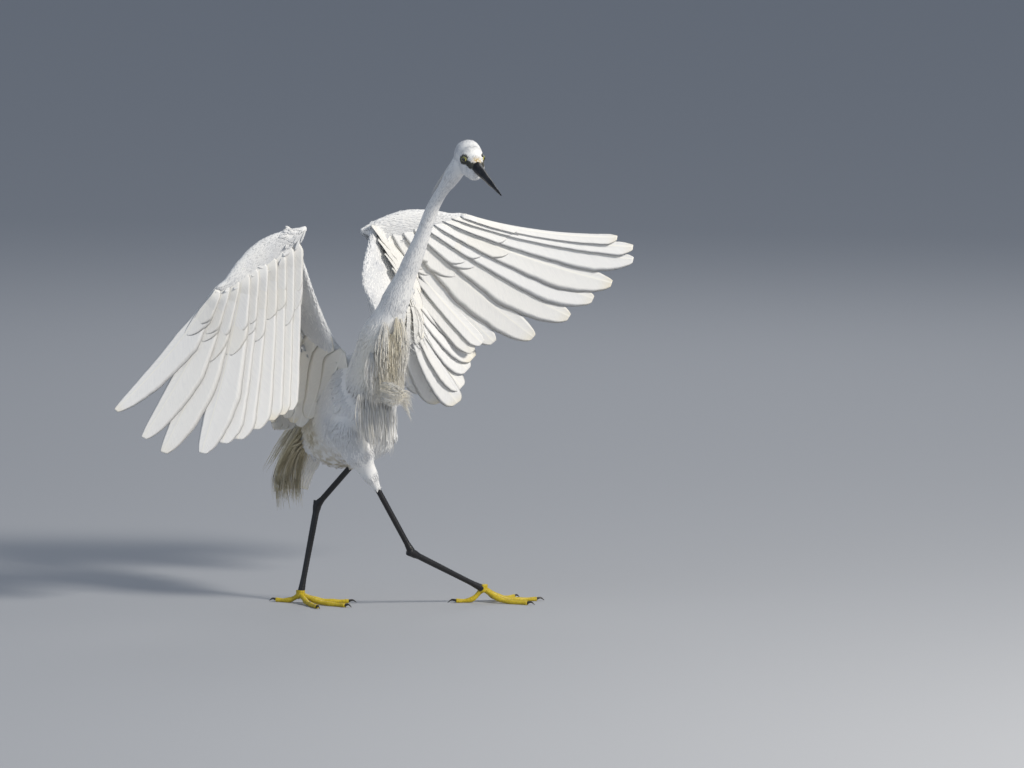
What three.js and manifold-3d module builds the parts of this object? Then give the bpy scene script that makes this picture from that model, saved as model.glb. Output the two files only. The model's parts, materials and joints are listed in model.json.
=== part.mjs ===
// A little egret at life size, running with both wings raised.
// Millimetres, +Z up. +X is the way the bird runs, and +Y is its far side.
// The origin lies on the floor under the middle of the bird.
import * as THREE from 'three';
import Module from 'manifold-3d';

const wasm = await Module();
wasm.setup();

const V = (x, y, z) => new THREE.Vector3(x, y, z);
const mix = THREE.MathUtils.lerp;
const deg = THREE.MathUtils.degToRad;
const UP = V(0, 0, 1);

// The clear gap between two pieces that touch
const GAP = 0.3;

// Body: its heading on the floor, its pitch, and its middle
const HEADING = V(0.482, -0.876, 0).normalize();
const BODY_PITCH = deg(28);
const BODY_MIDDLE = V(-28, 20, 211);
const BODY_FRONT_REACH = 86;
const BODY_REAR_REACH = 100;
const BODY_HALF_WIDTH = 43;
const BODY_HALF_DEPTH = 57;

// Neck: the line of its middle from inside the breast to the nape
const NECK_LINE = [
  V(-4, -26, 250), V(6, -43, 298), V(19, -56, 337), V(33, -66, 372),
  V(49, -78, 412), V(66, -92, 458), V(82, -103, 485), V(99, -106, 511),
];
const NECK_TOP_RADIUS = 7.6;
const NECK_BASE_RADIUS = 33;

// Head and bill
const BILL_BASE = V(113, -138, 503);
const BILL_TIP = V(139, -216, 482);
const HEAD_LENGTH = 54;
const HEAD_HALF_WIDTH = 16.5;
const HEAD_HALF_HEIGHT = 19.5;
const HEAD_FRONT = 4;
const BILL_BASE_HALF_WIDTH = 6;
const BILL_BASE_HALF_HEIGHT = 6.4;
const EYE_RADIUS = 4.6;
const EYE_BACK = 16;
const EYE_SIDE = 9.8;
const EYE_UP = 4.8;

// Wings: shoulder, elbow, wrist and end of the hand, then the lines of the feather tips
const RIGHT_WING = {
  shoulder: V(-35, -16, 287),
  elbow: V(-97, 25, 345),
  wrist: V(-88, -62, 424),
  handEnd: V(-172, -80, 368),
  primaryTips: [
    V(-94, -50, 223), V(-104, -54, 217), V(-116, -58, 211), V(-132, -62, 204), V(-151, -66, 193),
    V(-168, -70, 186), V(-191, -74, 179), V(-234, -77, 180), V(-257, -80, 194), V(-287, -84, 227),
  ],
  secondaryTips: [
    V(-76, 60, 206), V(-92, 52, 192), V(-106, 38, 190),
    V(-114, 14, 204), V(-110, -16, 228), V(-104, -38, 250),
  ],
  dorsal: V(0.1, 1, 0.2),
  armDorsal: V(-0.75, 0.6, 0.35),
  rootLead: 2,
  frontBulge: -9,
  handBulge: 11,
};
const LEFT_WING = {
  shoulder: V(3, 8, 290),
  elbow: V(34, 72, 328),
  wrist: V(-4, 120, 410),
  handEnd: V(92, 138, 423),
  primaryTips: [
    V(110, 143, 264), V(120, 144, 273), V(132, 146, 276), V(178, 147, 280), V(217, 148, 304),
    V(244, 149, 324), V(267, 150, 341), V(287, 150, 369), V(287, 149, 383), V(269, 148, 394),
  ],
  secondaryTips: [
    V(14, 128, 238), V(25, 131, 233), V(39, 134, 227), V(55, 138, 219), V(72, 142, 209),
    V(92, 146, 206), V(97, 149, 224), V(104, 152, 243), V(109, 154, 257), V(112, 156, 269),
  ],
  dorsal: V(-0.05, 1, 0.1),
  armDorsal: V(-0.5, 1, 0.25),
  rootLead: 17,
  frontBulge: 18,
  handBulge: 8,
};
const WING_ROOT_LENGTH = 60;
const WING_ROOT_DEPTH = 0.2;
const HAND_UNDERLAP = 11;
const PRIMARIES = 10;
const SECONDARIES = 10;
const PRIMARY_WIDTH = 32;
const SECONDARY_WIDTH = 25;
const VANE_THICKNESS = 1.5;
const VANE_STEP = 1.9;
const VANE_OVERLAP = 1.6;
const COVERT_LIFT = 3.4;
const COVERT_REACH = 0.38;
const HAND_TIERS = [[3.4, 0.4], [6.2, 0.2]];
const ARM_TIERS = [[3.4, 0.4]];
const HAND_HALF_THICKNESS = 7.6;
const ARM_HALF_THICKNESS = 10;

// Plumes: on the back, on the breast and behind the crown
const PLUME_THICKNESS = 2.2;
const BACK_PLUMES = 11;
const BACK_PLUME_WIDTH = 8;
const BREAST_PLUMES = 9;
const BREAST_PLUME_WIDTH = 10;
const NAPE_PLUMES = 3;

// Tail
const TAIL_FEATHERS = 12;
const TAIL_LENGTH = 78;
const TAIL_DROOP = 24;
const TAIL_SPREAD = deg(11);
const TAIL_WIDTH = 19;

// Legs: knee, ankle and the joint above the toes, then the way that the foot points
const RIGHT_LEG = {
  side: 'right',
  hand: 1,
  knee: V(-32, -24, 200),
  ankle: V(40.7, -4, 61.5),
  footJoint: V(119, 45, 15),
  foot: V(1, 0.22, 0).normalize(),
};
const LEFT_LEG = {
  side: 'left',
  hand: -1,
  knee: V(6, -12, 196),
  ankle: V(-64, 50, 108),
  footJoint: V(-82.5, 38, 9.5),
  foot: V(0.82, -0.57, 0).normalize(),
};
const TOES = [
  { name: 'middle', turn: 0, length: 60 },
  { name: 'inner', turn: 33, length: 48 },
  { name: 'outer', turn: -36, length: 53 },
  { name: 'hind', turn: 172, length: 30 },
];
const TOE_RADIUS = 2.9;
const TOE_TAPER = 0.8;
const TOE_FLAT = 0.4;
const CLAW_LENGTH = 9;
const SHANK_RADIUS = 3.3;
const ANKLE_RADIUS = 5;

const PAINT = {
  plumage: { color: 0xf1f0ea, roughness: 0.9, metalness: 0 },
  bill: { color: 0x15171a, roughness: 0.45, metalness: 0 },
  shank: { color: 0x1b1c1d, roughness: 0.55, metalness: 0 },
  toe: { color: 0xb7a31c, roughness: 0.6, metalness: 0 },
  claw: { color: 0x2a241c, roughness: 0.5, metalness: 0 },
  eye: { color: 0xd9c52a, roughness: 0.1, metalness: 0 },
};

// The body's own axes
const BODY_RIGHT = HEADING.clone().cross(UP).normalize();
const BODY_AHEAD = HEADING.clone().multiplyScalar(Math.cos(BODY_PITCH))
  .addScaledVector(UP, Math.sin(BODY_PITCH));
const BODY_UP = BODY_RIGHT.clone().cross(BODY_AHEAD).normalize();

// A small repeatable source of variation
function dice(seed) {
  let state = seed;
  return () => {
    state = (state * 16807) % 2147483647;
    return state / 2147483647;
  };
}

function toSolid(points, faces) {
  let volume = 0;
  for (const [a, b, c] of faces) volume += points[a].dot(points[b].clone().cross(points[c]));
  const vertProperties = new Float32Array(points.length * 3);
  points.forEach((p, i) => p.toArray(vertProperties, i * 3));
  const order = volume < 0 ? faces.map(([a, b, c]) => [a, c, b]) : faces;
  const triVerts = new Uint32Array(order.flat());
  return new wasm.Manifold(new wasm.Mesh({ numProp: 3, vertProperties, triVerts }));
}

function unionOf(solids) {
  return solids.reduce((all, one) => all.add(one));
}

// A closed skin over rings of points that all have the same count, closed by a point at each end.
// The far half of each ring is split the other way, so that a thin piece has like triangles on both faces.
function skin(rings, startPoint, endPoint) {
  const sides = rings[0].length;
  const points = rings.flat();
  const faces = [];
  for (let i = 0; i < rings.length - 1; i++) {
    for (let j = 0; j < sides; j++) {
      const a = i * sides + j;
      const b = i * sides + (j + 1) % sides;
      const c = b + sides;
      const d = a + sides;
      if (j < sides / 2) faces.push([a, b, c], [a, c, d]);
      else faces.push([a, b, d], [b, c, d]);
    }
  }
  const start = points.push(startPoint) - 1;
  const end = points.push(endPoint) - 1;
  const last = (rings.length - 1) * sides;
  for (let j = 0; j < sides; j++) {
    faces.push([start, (j + 1) % sides, j]);
    faces.push([end, last + j, last + (j + 1) % sides]);
  }
  return toSolid(points, faces);
}

function middleOf(ring) {
  const sum = ring.reduce((all, p) => all.add(p), V(0, 0, 0));
  return sum.divideScalar(ring.length);
}

// An oval ring about a point: side and up are its two axes
function oval(at, side, up, halfWidth, halfHeight, sides) {
  const ring = [];
  for (let j = 0; j < sides; j++) {
    const turn = (j / sides) * 2 * Math.PI;
    ring.push(at.clone().addScaledVector(side, Math.cos(turn) * halfWidth)
      .addScaledVector(up, Math.sin(turn) * halfHeight));
  }
  return ring;
}

// A wing's section: full at its front edge and thin at its rear edge, which back points to
function teardrop(at, back, up, half, thick, sides) {
  const ring = [];
  for (let j = 0; j < sides; j++) {
    const turn = (j / sides) * 2 * Math.PI;
    const lift = Math.sin(turn) * thick * (0.72 - 0.42 * Math.cos(turn));
    ring.push(at.clone().addScaledVector(back, Math.cos(turn) * half).addScaledVector(up, lift));
  }
  return ring;
}

// A round limb along a smooth line; radius(t) gives its half width and half height at t from 0 to 1
function limb(line, radius, steps, sides, hint = UP, grow = 0) {
  const curve = new THREE.CatmullRomCurve3(line, false, 'centripetal');
  const rings = [];
  for (let i = 0; i <= steps; i++) {
    const t = i / steps;
    const along = curve.getTangentAt(t);
    const side = along.clone().cross(hint).normalize();
    const up = side.clone().cross(along).normalize();
    const [halfWidth, halfHeight] = radius(t);
    rings.push(oval(curve.getPointAt(t), side, up, halfWidth + grow, halfHeight + grow, sides));
  }
  const first = curve.getPointAt(0).addScaledVector(curve.getTangentAt(0), -grow);
  const last = curve.getPointAt(1).addScaledVector(curve.getTangentAt(1), grow);
  return skin(rings, first, last);
}

// Values read along a list of [t, value, value] rows, smoothly
function readAlong(rows, t) {
  let i = 0;
  while (i < rows.length - 2 && t > rows[i + 1][0]) i++;
  const u = THREE.MathUtils.clamp((t - rows[i][0]) / (rows[i + 1][0] - rows[i][0]), 0, 1);
  const eased = u * u * (3 - 2 * u);
  return rows[i].slice(1).map((value, k) => mix(value, rows[i + 1][k + 1], eased));
}

function fromGeometry(geometry, matrix) {
  const shape = geometry.clone().applyMatrix4(matrix).toNonIndexed();
  const found = new Map();
  const points = [];
  const faces = [];
  const position = shape.getAttribute('position');
  for (let i = 0; i < position.count; i += 3) {
    const face = [0, 1, 2].map((k) => {
      const p = V().fromBufferAttribute(position, i + k);
      const key = p.toArray().map((n) => n.toFixed(4)).join(' ');
      if (!found.has(key)) found.set(key, points.push(p) - 1);
      return found.get(key);
    });
    if (new Set(face).size === 3) faces.push(face);
  }
  return toSolid(points, faces);
}

// Everything on the side of a plane that its normal points to
function halfSpace(point, normal) {
  const size = 2400;
  const turn = new THREE.Quaternion().setFromUnitVectors(UP, normal.clone().normalize());
  const middle = point.clone().addScaledVector(normal.clone().normalize(), size / 2);
  const box = new THREE.BoxGeometry(size, size, size);
  return fromGeometry(box, new THREE.Matrix4().compose(middle, turn, V(1, 1, 1)));
}

function ball(middle, radius) {
  const sphere = new THREE.SphereGeometry(radius, 12, 8);
  return fromGeometry(sphere, new THREE.Matrix4().makeTranslation(middle));
}

// Feathers

// One feather vane: a flat lens with a raised shaft, rounded at its tip.
// shaft(t) gives its middle line; frame(t) gives lateral, towards its leading edge, and
// dorsal, its upper side.
function vane({ shaft, frame, leading, trailing, thick, tilt, room, sharp = 6, steps = 4, grow = 0 }) {
  const rings = [];
  for (let i = 0; i <= steps; i++) {
    const t = 0.985 * Math.sin((i / steps) * 1.45) / Math.sin(1.45);
    const open = Math.min(1, 0.22 + 2.6 * t) * Math.sqrt(1 - t ** sharp);
    const width = Math.min(open, room(t) / (leading + trailing));
    const at = shaft(t);
    const { lateral, dorsal } = frame(t);
    const across = lateral.clone().addScaledVector(dorsal, Math.tan(tilt(t)));
    const half = mix(thick, thick * 0.55, t) / 2 + grow * 1.2;
    rings.push([
      at.clone().addScaledVector(across, leading * width + grow * 2),
      at.clone().addScaledVector(dorsal, half),
      at.clone().addScaledVector(across, -trailing * width - grow * 2),
      at.clone().addScaledVector(dorsal, -half),
    ]);
  }
  return skin(rings, middleOf(rings[0]), shaft(1));
}

// A fan of overlapping feathers between a line of roots and a line of tips, from the innermost out.
// Each is tilted about its shaft, so that it lies a step clear of the next.
function fan({ count, roots, tips, dorsalHint, width, bow, camber, sharp, leadShare, seed, steps = 4 }) {
  const roll = dice(seed);
  const feathers = [];
  for (let i = 0; i < count; i++) {
    const u = i / (count - 1);
    const root = roots.getPoint(u);
    const tip = tips.getPoint(u);
    tip.lerp(root, roll() * 0.02);
    feathers.push({ u, root, tip });
  }
  feathers.forEach((feather, i) => {
    const before = feathers[Math.max(0, i - 1)];
    const after = feathers[Math.min(count - 1, i + 1)];
    const along = feather.tip.clone().sub(feather.root).normalize();
    const frame = (t) => {
      const ends = [after.root.clone().sub(before.root), after.tip.clone().sub(before.tip)];
      const reach = ends[0].multiplyScalar(1 - t).addScaledVector(ends[1], t);
      const lateral = reach.addScaledVector(along, -reach.dot(along)).normalize();
      const dorsal = lateral.clone().cross(along).normalize();
      if (dorsal.dot(dorsalHint) < 0) dorsal.negate();
      return { lateral, dorsal };
    };
    const across = (t) => {
      const from = before.root.clone().lerp(before.tip, t);
      const to = after.root.clone().lerp(after.tip, t);
      return Math.abs(to.sub(from).dot(frame(t).lateral)) / Math.max(1, (after.u - before.u) * (count - 1));
    };
    const middle = frame(0.5);
    feather.frame = frame;
    feather.tilt = (t) => Math.atan(Math.min(0.5, VANE_STEP / Math.max(2, across(t))));
    feather.room = (t) => Math.max(5, VANE_OVERLAP * across(t));
    feather.shaft = (t) => feather.root.clone().lerp(feather.tip, t)
      .addScaledVector(middle.lateral, bow(feather.u) * 4 * t * (1 - t))
      .addScaledVector(middle.dorsal, camber * 4 * t * (1 - t));
    feather.width = width(feather.u);
    feather.sharp = sharp(feather.u);
    feather.lead = leadShare(feather.u);
    feather.steps = steps;
  });
  return feathers;
}

function flightVane(feather, grow = 0) {
  return vane({
    grow,
    shaft: feather.shaft,
    frame: feather.frame,
    leading: feather.width * feather.lead,
    trailing: feather.width * (1 - feather.lead),
    thick: VANE_THICKNESS,
    tilt: feather.tilt,
    room: feather.room,
    sharp: feather.sharp,
    steps: feather.steps,
  });
}

// A shorter feather that lies over a flight feather, above it (face 1) or below it (face -1)
function covertVane(feather, face, lift, reach, grow = 0) {
  const along = (t) => mix(0.015, reach, t);
  return vane({
    shaft: (t) => feather.shaft(along(t)).addScaledVector(feather.frame(along(t)).dorsal, face * lift),
    frame: (t) => feather.frame(along(t)),
    leading: feather.width * 0.3,
    trailing: feather.width * 0.56,
    thick: VANE_THICKNESS * 0.9,
    tilt: (t) => feather.tilt(along(t)),
    room: (t) => feather.room(along(t)),
    sharp: 5,
    steps: 2,
    grow,
  });
}

// A long lock that tapers to a point along a curve; face points to its flat upper side
function plume(points, face, width, steps = 4) {
  const curve = new THREE.CatmullRomCurve3(points, false, 'centripetal');
  const along = points[points.length - 1].clone().sub(points[0]).normalize();
  const lateral = along.clone().cross(face).normalize();
  return vane({
    shaft: (t) => curve.getPoint(t),
    frame: () => ({ lateral, dorsal: lateral.clone().cross(along).normalize() }),
    leading: width / 2,
    trailing: width / 2,
    thick: PLUME_THICKNESS,
    tilt: () => 0,
    room: () => width,
    sharp: 1.6,
    steps,
  });
}

const line = (points) => new THREE.CatmullRomCurve3(points, false, 'centripetal');
const straight = (from, to) => new THREE.LineCurve3(from, to);

// Hand: the flat wrist and finger, the primaries that fan out from it, and their coverts
function handFeathers(wing, seed) {
  const inset = wing.primaryTips[2].clone().sub(wing.wrist).normalize().multiplyScalar(9);
  return fan({
    count: PRIMARIES,
    roots: straight(wing.wrist.clone().add(inset), wing.handEnd.clone().addScaledVector(inset, 0.4)),
    tips: line(wing.primaryTips),
    dorsalHint: wing.dorsal,
    width: (u) => PRIMARY_WIDTH * (0.85 + 0.45 * Math.sin(0.9 * Math.PI * u)),
    bow: (u) => mix(-3, -7, u),
    camber: 5,
    sharp: (u) => mix(8, 2.6, u),
    leadShare: (u) => mix(0.42, 0.27, u),
    seed,
  });
}

function handCore(wing, grow = 0) {
  const along = wing.handEnd.clone().sub(wing.wrist);
  const back = wing.primaryTips[2].clone().sub(wing.wrist);
  back.addScaledVector(along, -back.dot(along) / along.lengthSq()).normalize();
  const dorsal = along.clone().cross(back).normalize();
  const rows = [[-0.14, 6, 0.6], [0.05, 15, 1], [0.35, 20, 1], [0.7, 16, 0.95], [1, 8, 0.8], [1.08, 4, 0.5]];
  const rings = [];
  for (let i = 0; i <= 6; i++) {
    const t = mix(-0.14, 1.08, i / 6);
    const [half, share] = readAlong(rows, t);
    const rise = wing.handBulge * Math.sin(Math.PI * THREE.MathUtils.clamp(t + 0.1, 0, 1));
    const at = wing.wrist.clone().addScaledVector(along, t).addScaledVector(back, half * 0.66 - rise);
    rings.push(teardrop(at, back, dorsal, half + grow, HAND_HALF_THICKNESS * share + grow, 10));
  }
  return skin(rings, middleOf(rings[0]), middleOf(rings[6]));
}

function alula(wing) {
  const along = wing.handEnd.clone().sub(wing.wrist);
  const back = wing.primaryTips[2].clone().sub(wing.wrist);
  back.addScaledVector(along, -back.dot(along) / along.lengthSq()).normalize();
  const dorsal = along.clone().cross(back).normalize();
  if (dorsal.dot(wing.dorsal) < 0) dorsal.negate();
  return [0, 1, 2].map((k) => {
    const root = wing.wrist.clone().addScaledVector(along, 0.3).addScaledVector(dorsal, 1 + k * 1.9);
    const tip = root.clone().addScaledVector(along, 0.86 - k * 0.16).addScaledVector(back, 4 + k * 5);
    return vane({
      shaft: (t) => root.clone().lerp(tip, t),
      frame: () => ({ lateral: back.clone().negate(), dorsal }),
      leading: 5,
      trailing: 8,
      thick: VANE_THICKNESS,
      tilt: () => 0,
      room: () => 20,
      sharp: 4,
      steps: 3,
    });
  });
}

// Where the rear edge of the wing meets the flank
function wingRoot(wing) {
  return wing.shoulder.clone().addScaledVector(BODY_AHEAD, -WING_ROOT_LENGTH).addScaledVector(UP, 6);
}

// Arm: shoulder, elbow and wrist under a web of skin, with the secondaries along its rear edge
function armFeathers(wing, seed) {
  const drop = wing.secondaryTips[2].clone().sub(wing.elbow).normalize().multiplyScalar(4)
    .addScaledVector(wing.dorsal, 4);
  const inner = wing.elbow.clone().lerp(wingRoot(wing), 0.55).add(drop);
  const outer = wing.wrist.clone().lerp(wing.elbow, 0.1).add(drop);
  return fan({
    count: SECONDARIES,
    roots: line([inner, wing.elbow.clone().add(drop), outer]),
    tips: line(wing.secondaryTips),
    dorsalHint: wing.armDorsal,
    width: () => SECONDARY_WIDTH,
    bow: () => -3,
    camber: 7,
    sharp: () => 10,
    leadShare: () => 0.42,
    seed,
  });
}

function armCore(wing, grow = 0) {
  const rings = [];
  const steps = 7;
  const bones = line([wingRoot(wing), wing.elbow, wing.wrist]);
  for (let i = 0; i <= steps; i++) {
    const t = mix(-WING_ROOT_DEPTH, 1, i / steps);
    const front = wing.shoulder.clone().lerp(wing.wrist, t);
    const back = bones.getPoint(Math.max(0, t));
    if (t < 0) back.addScaledVector(wing.wrist.clone().sub(wing.shoulder), t);
    const chord = back.clone().sub(front);
    const fall = wing.secondaryTips[2].clone().sub(wing.elbow).normalize();
    chord.addScaledVector(fall, 14 + 10 * Math.sin(Math.PI * Math.max(0, t)));
    const along = wing.wrist.clone().sub(wing.shoulder).normalize();
    chord.addScaledVector(along, -chord.dot(along));
    const arch = Math.sin(Math.PI * Math.max(0, t) ** 0.65);
    const lead = mix(wing.rootLead, 4, Math.max(0, t)) + wing.frontBulge * arch;
    const half = (chord.length() + lead) / 2 + 2;
    const side = chord.clone().normalize();
    const up = along.clone().cross(side).normalize();
    const middle = front.clone().addScaledVector(side, half - lead);
    const thick = ARM_HALF_THICKNESS * (1 - 0.25 * t);
    rings.push(teardrop(middle, side, up, half + grow, thick + grow, 10));
  }
  return skin(rings, middleOf(rings[0]), middleOf(rings[steps]));
}

// The plane that parts the hand from the arm, between their neighbouring feathers
function wristPlane(wing) {
  const across = wing.handEnd.clone().sub(wing.wrist).normalize();
  const outer = wing.secondaryTips[wing.secondaryTips.length - 1];
  const down = wing.primaryTips[0].clone().lerp(outer, 0.5).sub(wing.wrist).normalize();
  const normal = across.addScaledVector(down, -across.dot(down)).normalize();
  return { point: wing.wrist.clone(), normal };
}

// A feather with its coverts: one tier above, and the lower tiers, which a raised wing shows
function withCoverts(feather, lowerTiers, grow = 0) {
  const upper = covertVane(feather, 1, COVERT_LIFT, COVERT_REACH, grow);
  const lower = lowerTiers.map(([lift, reach]) => covertVane(feather, -1, lift, reach, grow));
  return [flightVane(feather, grow), upper, ...lower];
}

function wingHand(wing, seed) {
  const { point, normal } = wristPlane(wing);
  const cut = halfSpace(point.clone().addScaledVector(normal, GAP / 2), normal);
  const core = unionOf([handCore(wing), ...alula(wing)]).intersect(cut);
  return unionOf([core, ...handFeathers(wing, seed).flatMap((feather) => withCoverts(feather, HAND_TIERS))])
    .intersect(halfSpace(point.clone().addScaledVector(normal, -HAND_UNDERLAP), normal));
}

// The arm's outermost feathers slip behind the hand's innermost, clear of them by the gap
function wingArm(wing, seed, handSeed) {
  const { point, normal } = wristPlane(wing);
  const back = normal.clone().negate();
  const cut = halfSpace(point.clone().addScaledVector(back, GAP / 2), back);
  const feathers = armFeathers(wing, seed).flatMap((feather) => withCoverts(feather, ARM_TIERS));
  const parts = [armCore(wing).intersect(cut), ...feathers];
  const near = handFeathers(wing, handSeed).slice(0, 3)
    .flatMap((feather) => withCoverts(feather, HAND_TIERS, GAP));
  return unionOf(parts).subtract(unionOf([handCore(wing, GAP), ...near]))
    .intersect(halfSpace(point.clone().addScaledVector(normal, HAND_UNDERLAP), back))
    .subtract(torsoCore(GAP)).subtract(neckCore(GAP));
}

// Torso
function bodyPoint(ahead, right, up) {
  return BODY_MIDDLE.clone().addScaledVector(BODY_AHEAD, ahead)
    .addScaledVector(BODY_RIGHT, right).addScaledVector(BODY_UP, up);
}

function torsoCore(grow = 0) {
  const rows = [
    [0, 0.3, 0.22, 0.1], [0.14, 0.6, 0.5, 0.04], [0.34, 0.94, 0.86, 0], [0.56, 1, 1, 0],
    [0.76, 0.92, 0.94, 0.1], [0.91, 0.66, 0.74, 0.16], [1, 0.36, 0.44, 0.16],
  ];
  const steps = 11;
  const rings = [];
  for (let i = 0; i <= steps; i++) {
    const t = i / steps;
    const [wide, deep, rise] = readAlong(rows, t);
    const at = bodyPoint(mix(-BODY_REAR_REACH, BODY_FRONT_REACH, t), 0, rise * BODY_HALF_DEPTH);
    const half = [BODY_HALF_WIDTH * wide + grow, BODY_HALF_DEPTH * deep + grow];
    rings.push(oval(at, BODY_RIGHT, BODY_UP, half[0], half[1], 16));
  }
  const rear = middleOf(rings[0]).addScaledVector(BODY_AHEAD, -5 - grow);
  const front = middleOf(rings[steps]).addScaledVector(BODY_AHEAD, 8 + grow);
  return skin(rings, rear, front);
}

// The back's long plumes: rooted between the shoulders, they hang past the tail
function backPlumes() {
  const roll = dice(91);
  const plumes = [];
  for (let i = 0; i < BACK_PLUMES; i++) {
    const way = (2 * i) / (BACK_PLUMES - 1) - 1;
    const lift = (i % 2) * 3.2;
    const reach = 4 + 20 * roll();
    plumes.push(plume([
      bodyPoint(-14 - 8 * roll(), 11 * way, 45),
      bodyPoint(-48, 14 * way, 51 + lift - 4 * way * way),
      bodyPoint(-84, 18 * way, 35 + lift - 4 * way * way),
      bodyPoint(-122, 27 * way, 16 + lift),
      bodyPoint(-148 - reach, 31 * way + 6 * (roll() - 0.5), -1 + lift),
    ], BODY_UP, BACK_PLUME_WIDTH, 4));
  }
  return plumes;
}

// The breast's plumes: rooted round the front of the neck's base, they hang over the breast
function breastPlumes() {
  const roll = dice(67);
  const curve = new THREE.CatmullRomCurve3(NECK_LINE, false, 'centripetal');
  const plumes = [];
  for (let i = 0; i < BREAST_PLUMES; i++) {
    const way = (2 * i) / (BREAST_PLUMES - 1) - 1;
    const out = HEADING.clone().applyAxisAngle(UP, way * deg(66));
    const at = curve.getPointAt(mix(0.16, 0.3, roll()));
    const drop = mix(48, 78, roll());
    const spot = (away, down) => at.clone().addScaledVector(out, away).addScaledVector(UP, -down);
    plumes.push(plume([spot(10, 0), spot(25, 14), spot(33, 38), spot(35, drop)], out, BREAST_PLUME_WIDTH, 4));
  }
  return plumes;
}

// Neck, in three lengths
function neckCore(grow = 0) {
  const rows = [
    [0, NECK_BASE_RADIUS * 0.92, NECK_BASE_RADIUS], [0.18, NECK_BASE_RADIUS * 0.76, NECK_BASE_RADIUS * 0.85],
    [0.34, 16, 18], [0.5, 11.5, 12.5], [0.7, 8.6, 9.2], [0.84, NECK_TOP_RADIUS, NECK_TOP_RADIUS * 1.05],
    [0.93, NECK_TOP_RADIUS * 1.4, NECK_TOP_RADIUS * 1.55], [1, NECK_TOP_RADIUS * 1.5, NECK_TOP_RADIUS * 1.6],
  ];
  return limb(NECK_LINE, (t) => readAlong(rows, t), 15, 12, HEADING, grow);
}

function neckLength(from, to) {
  const curve = new THREE.CatmullRomCurve3(NECK_LINE, false, 'centripetal');
  let solid = neckCore();
  for (const [t, way] of [[from, 1], [to, -1]]) {
    if (t <= 0 || t >= 1) continue;
    const normal = curve.getTangentAt(t).multiplyScalar(way);
    const point = curve.getPointAt(t).addScaledVector(normal, GAP / 2);
    solid = solid.intersect(halfSpace(point, normal));
  }
  return solid;
}

// Head: sections from the bill back to the nape
const HEAD_AHEAD = BILL_TIP.clone().sub(BILL_BASE).normalize();
const HEAD_RIGHT = HEAD_AHEAD.clone().cross(UP).normalize();
const HEAD_UP = HEAD_RIGHT.clone().cross(HEAD_AHEAD).normalize();

function headPoint(ahead, right, up) {
  return BILL_BASE.clone().addScaledVector(HEAD_AHEAD, ahead)
    .addScaledVector(HEAD_RIGHT, right).addScaledVector(HEAD_UP, up);
}

function headCore(grow = 0) {
  const rows = [
    [0, 0.44, 0.5, -0.2], [0.2, 0.72, 0.8, -0.16], [0.42, 0.92, 1, -0.02], [0.66, 1, 1, 0.07],
    [0.85, 0.84, 0.83, 0.05], [1, 0.5, 0.5, 0],
  ];
  const steps = 9;
  const rings = [];
  for (let i = 0; i <= steps; i++) {
    const t = i / steps;
    const [wide, high, rise] = readAlong(rows, t);
    const at = headPoint(mix(HEAD_FRONT, -HEAD_LENGTH, t), 0, rise * HEAD_HALF_HEIGHT);
    const half = [HEAD_HALF_WIDTH * wide + grow, HEAD_HALF_HEIGHT * high + grow];
    rings.push(oval(at, HEAD_RIGHT, HEAD_UP, half[0], half[1], 14));
  }
  const front = middleOf(rings[0]).addScaledVector(HEAD_AHEAD, grow);
  const nape = middleOf(rings[steps]).addScaledVector(HEAD_AHEAD, -4 - grow);
  return skin(rings, front, nape);
}

function eyeAt(way) {
  return headPoint(-EYE_BACK, way * EYE_SIDE, EYE_UP);
}

function head() {
  const parts = [headCore()];
  for (const way of [1, -1]) {
    const ring = new THREE.TorusGeometry(EYE_RADIUS * 0.92, 1, 4, 10);
    const out = HEAD_RIGHT.clone().multiplyScalar(way).addScaledVector(HEAD_AHEAD, 0.35).normalize();
    const turn = new THREE.Quaternion().setFromUnitVectors(UP, out);
    const at = eyeAt(way).addScaledVector(out, 1.6);
    parts.push(fromGeometry(ring, new THREE.Matrix4().compose(at, turn, V(1, 1, 1))));
  }
  for (let i = 0; i < NAPE_PLUMES; i++) {
    const way = i - (NAPE_PLUMES - 1) / 2;
    parts.push(plume([
      headPoint(-40, 3 * way, 12),
      headPoint(-54, 4 * way, 12),
      headPoint(-66 - 5 * (i % 2), 6 * way, 8 - 4 * (i % 2)),
    ], HEAD_UP, 6, 3));
  }
  let solid = unionOf(parts);
  for (const way of [1, -1]) solid = solid.subtract(ball(eyeAt(way), EYE_RADIUS + GAP));
  return solid;
}

function bill(upper) {
  const length = BILL_TIP.distanceTo(BILL_BASE);
  const rows = [[0, 1, 1], [0.15, 0.8, 0.84], [0.5, 0.5, 0.56], [0.85, 0.24, 0.26], [1, 0.06, 0.08]];
  const steps = 8;
  const rings = [];
  for (let i = 0; i <= steps; i++) {
    const t = i / steps;
    const [wide, high] = readAlong(rows, t);
    const at = headPoint(mix(-6, length, t), 0, 0);
    rings.push(oval(at, HEAD_RIGHT, HEAD_UP, BILL_BASE_HALF_WIDTH * wide, BILL_BASE_HALF_HEIGHT * high, 12));
  }
  let solid = skin(rings, middleOf(rings[0]), BILL_TIP);
  const way = upper ? 1 : -1;
  const mouth = headPoint(0, 0, -0.8 + way * GAP / 2);
  solid = solid.intersect(halfSpace(mouth, HEAD_UP.clone().multiplyScalar(way)));
  if (upper) {
    for (const side of [1, -1]) {
      const slit = new THREE.SphereGeometry(1, 8, 6);
      const turn = new THREE.Quaternion().setFromUnitVectors(V(1, 0, 0), HEAD_AHEAD);
      const at = headPoint(12, side * 4.4, 2.2);
      solid = solid.subtract(fromGeometry(slit, new THREE.Matrix4().compose(at, turn, V(4, 0.9, 0.9))));
    }
  }
  return solid.subtract(headCore(GAP));
}

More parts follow.
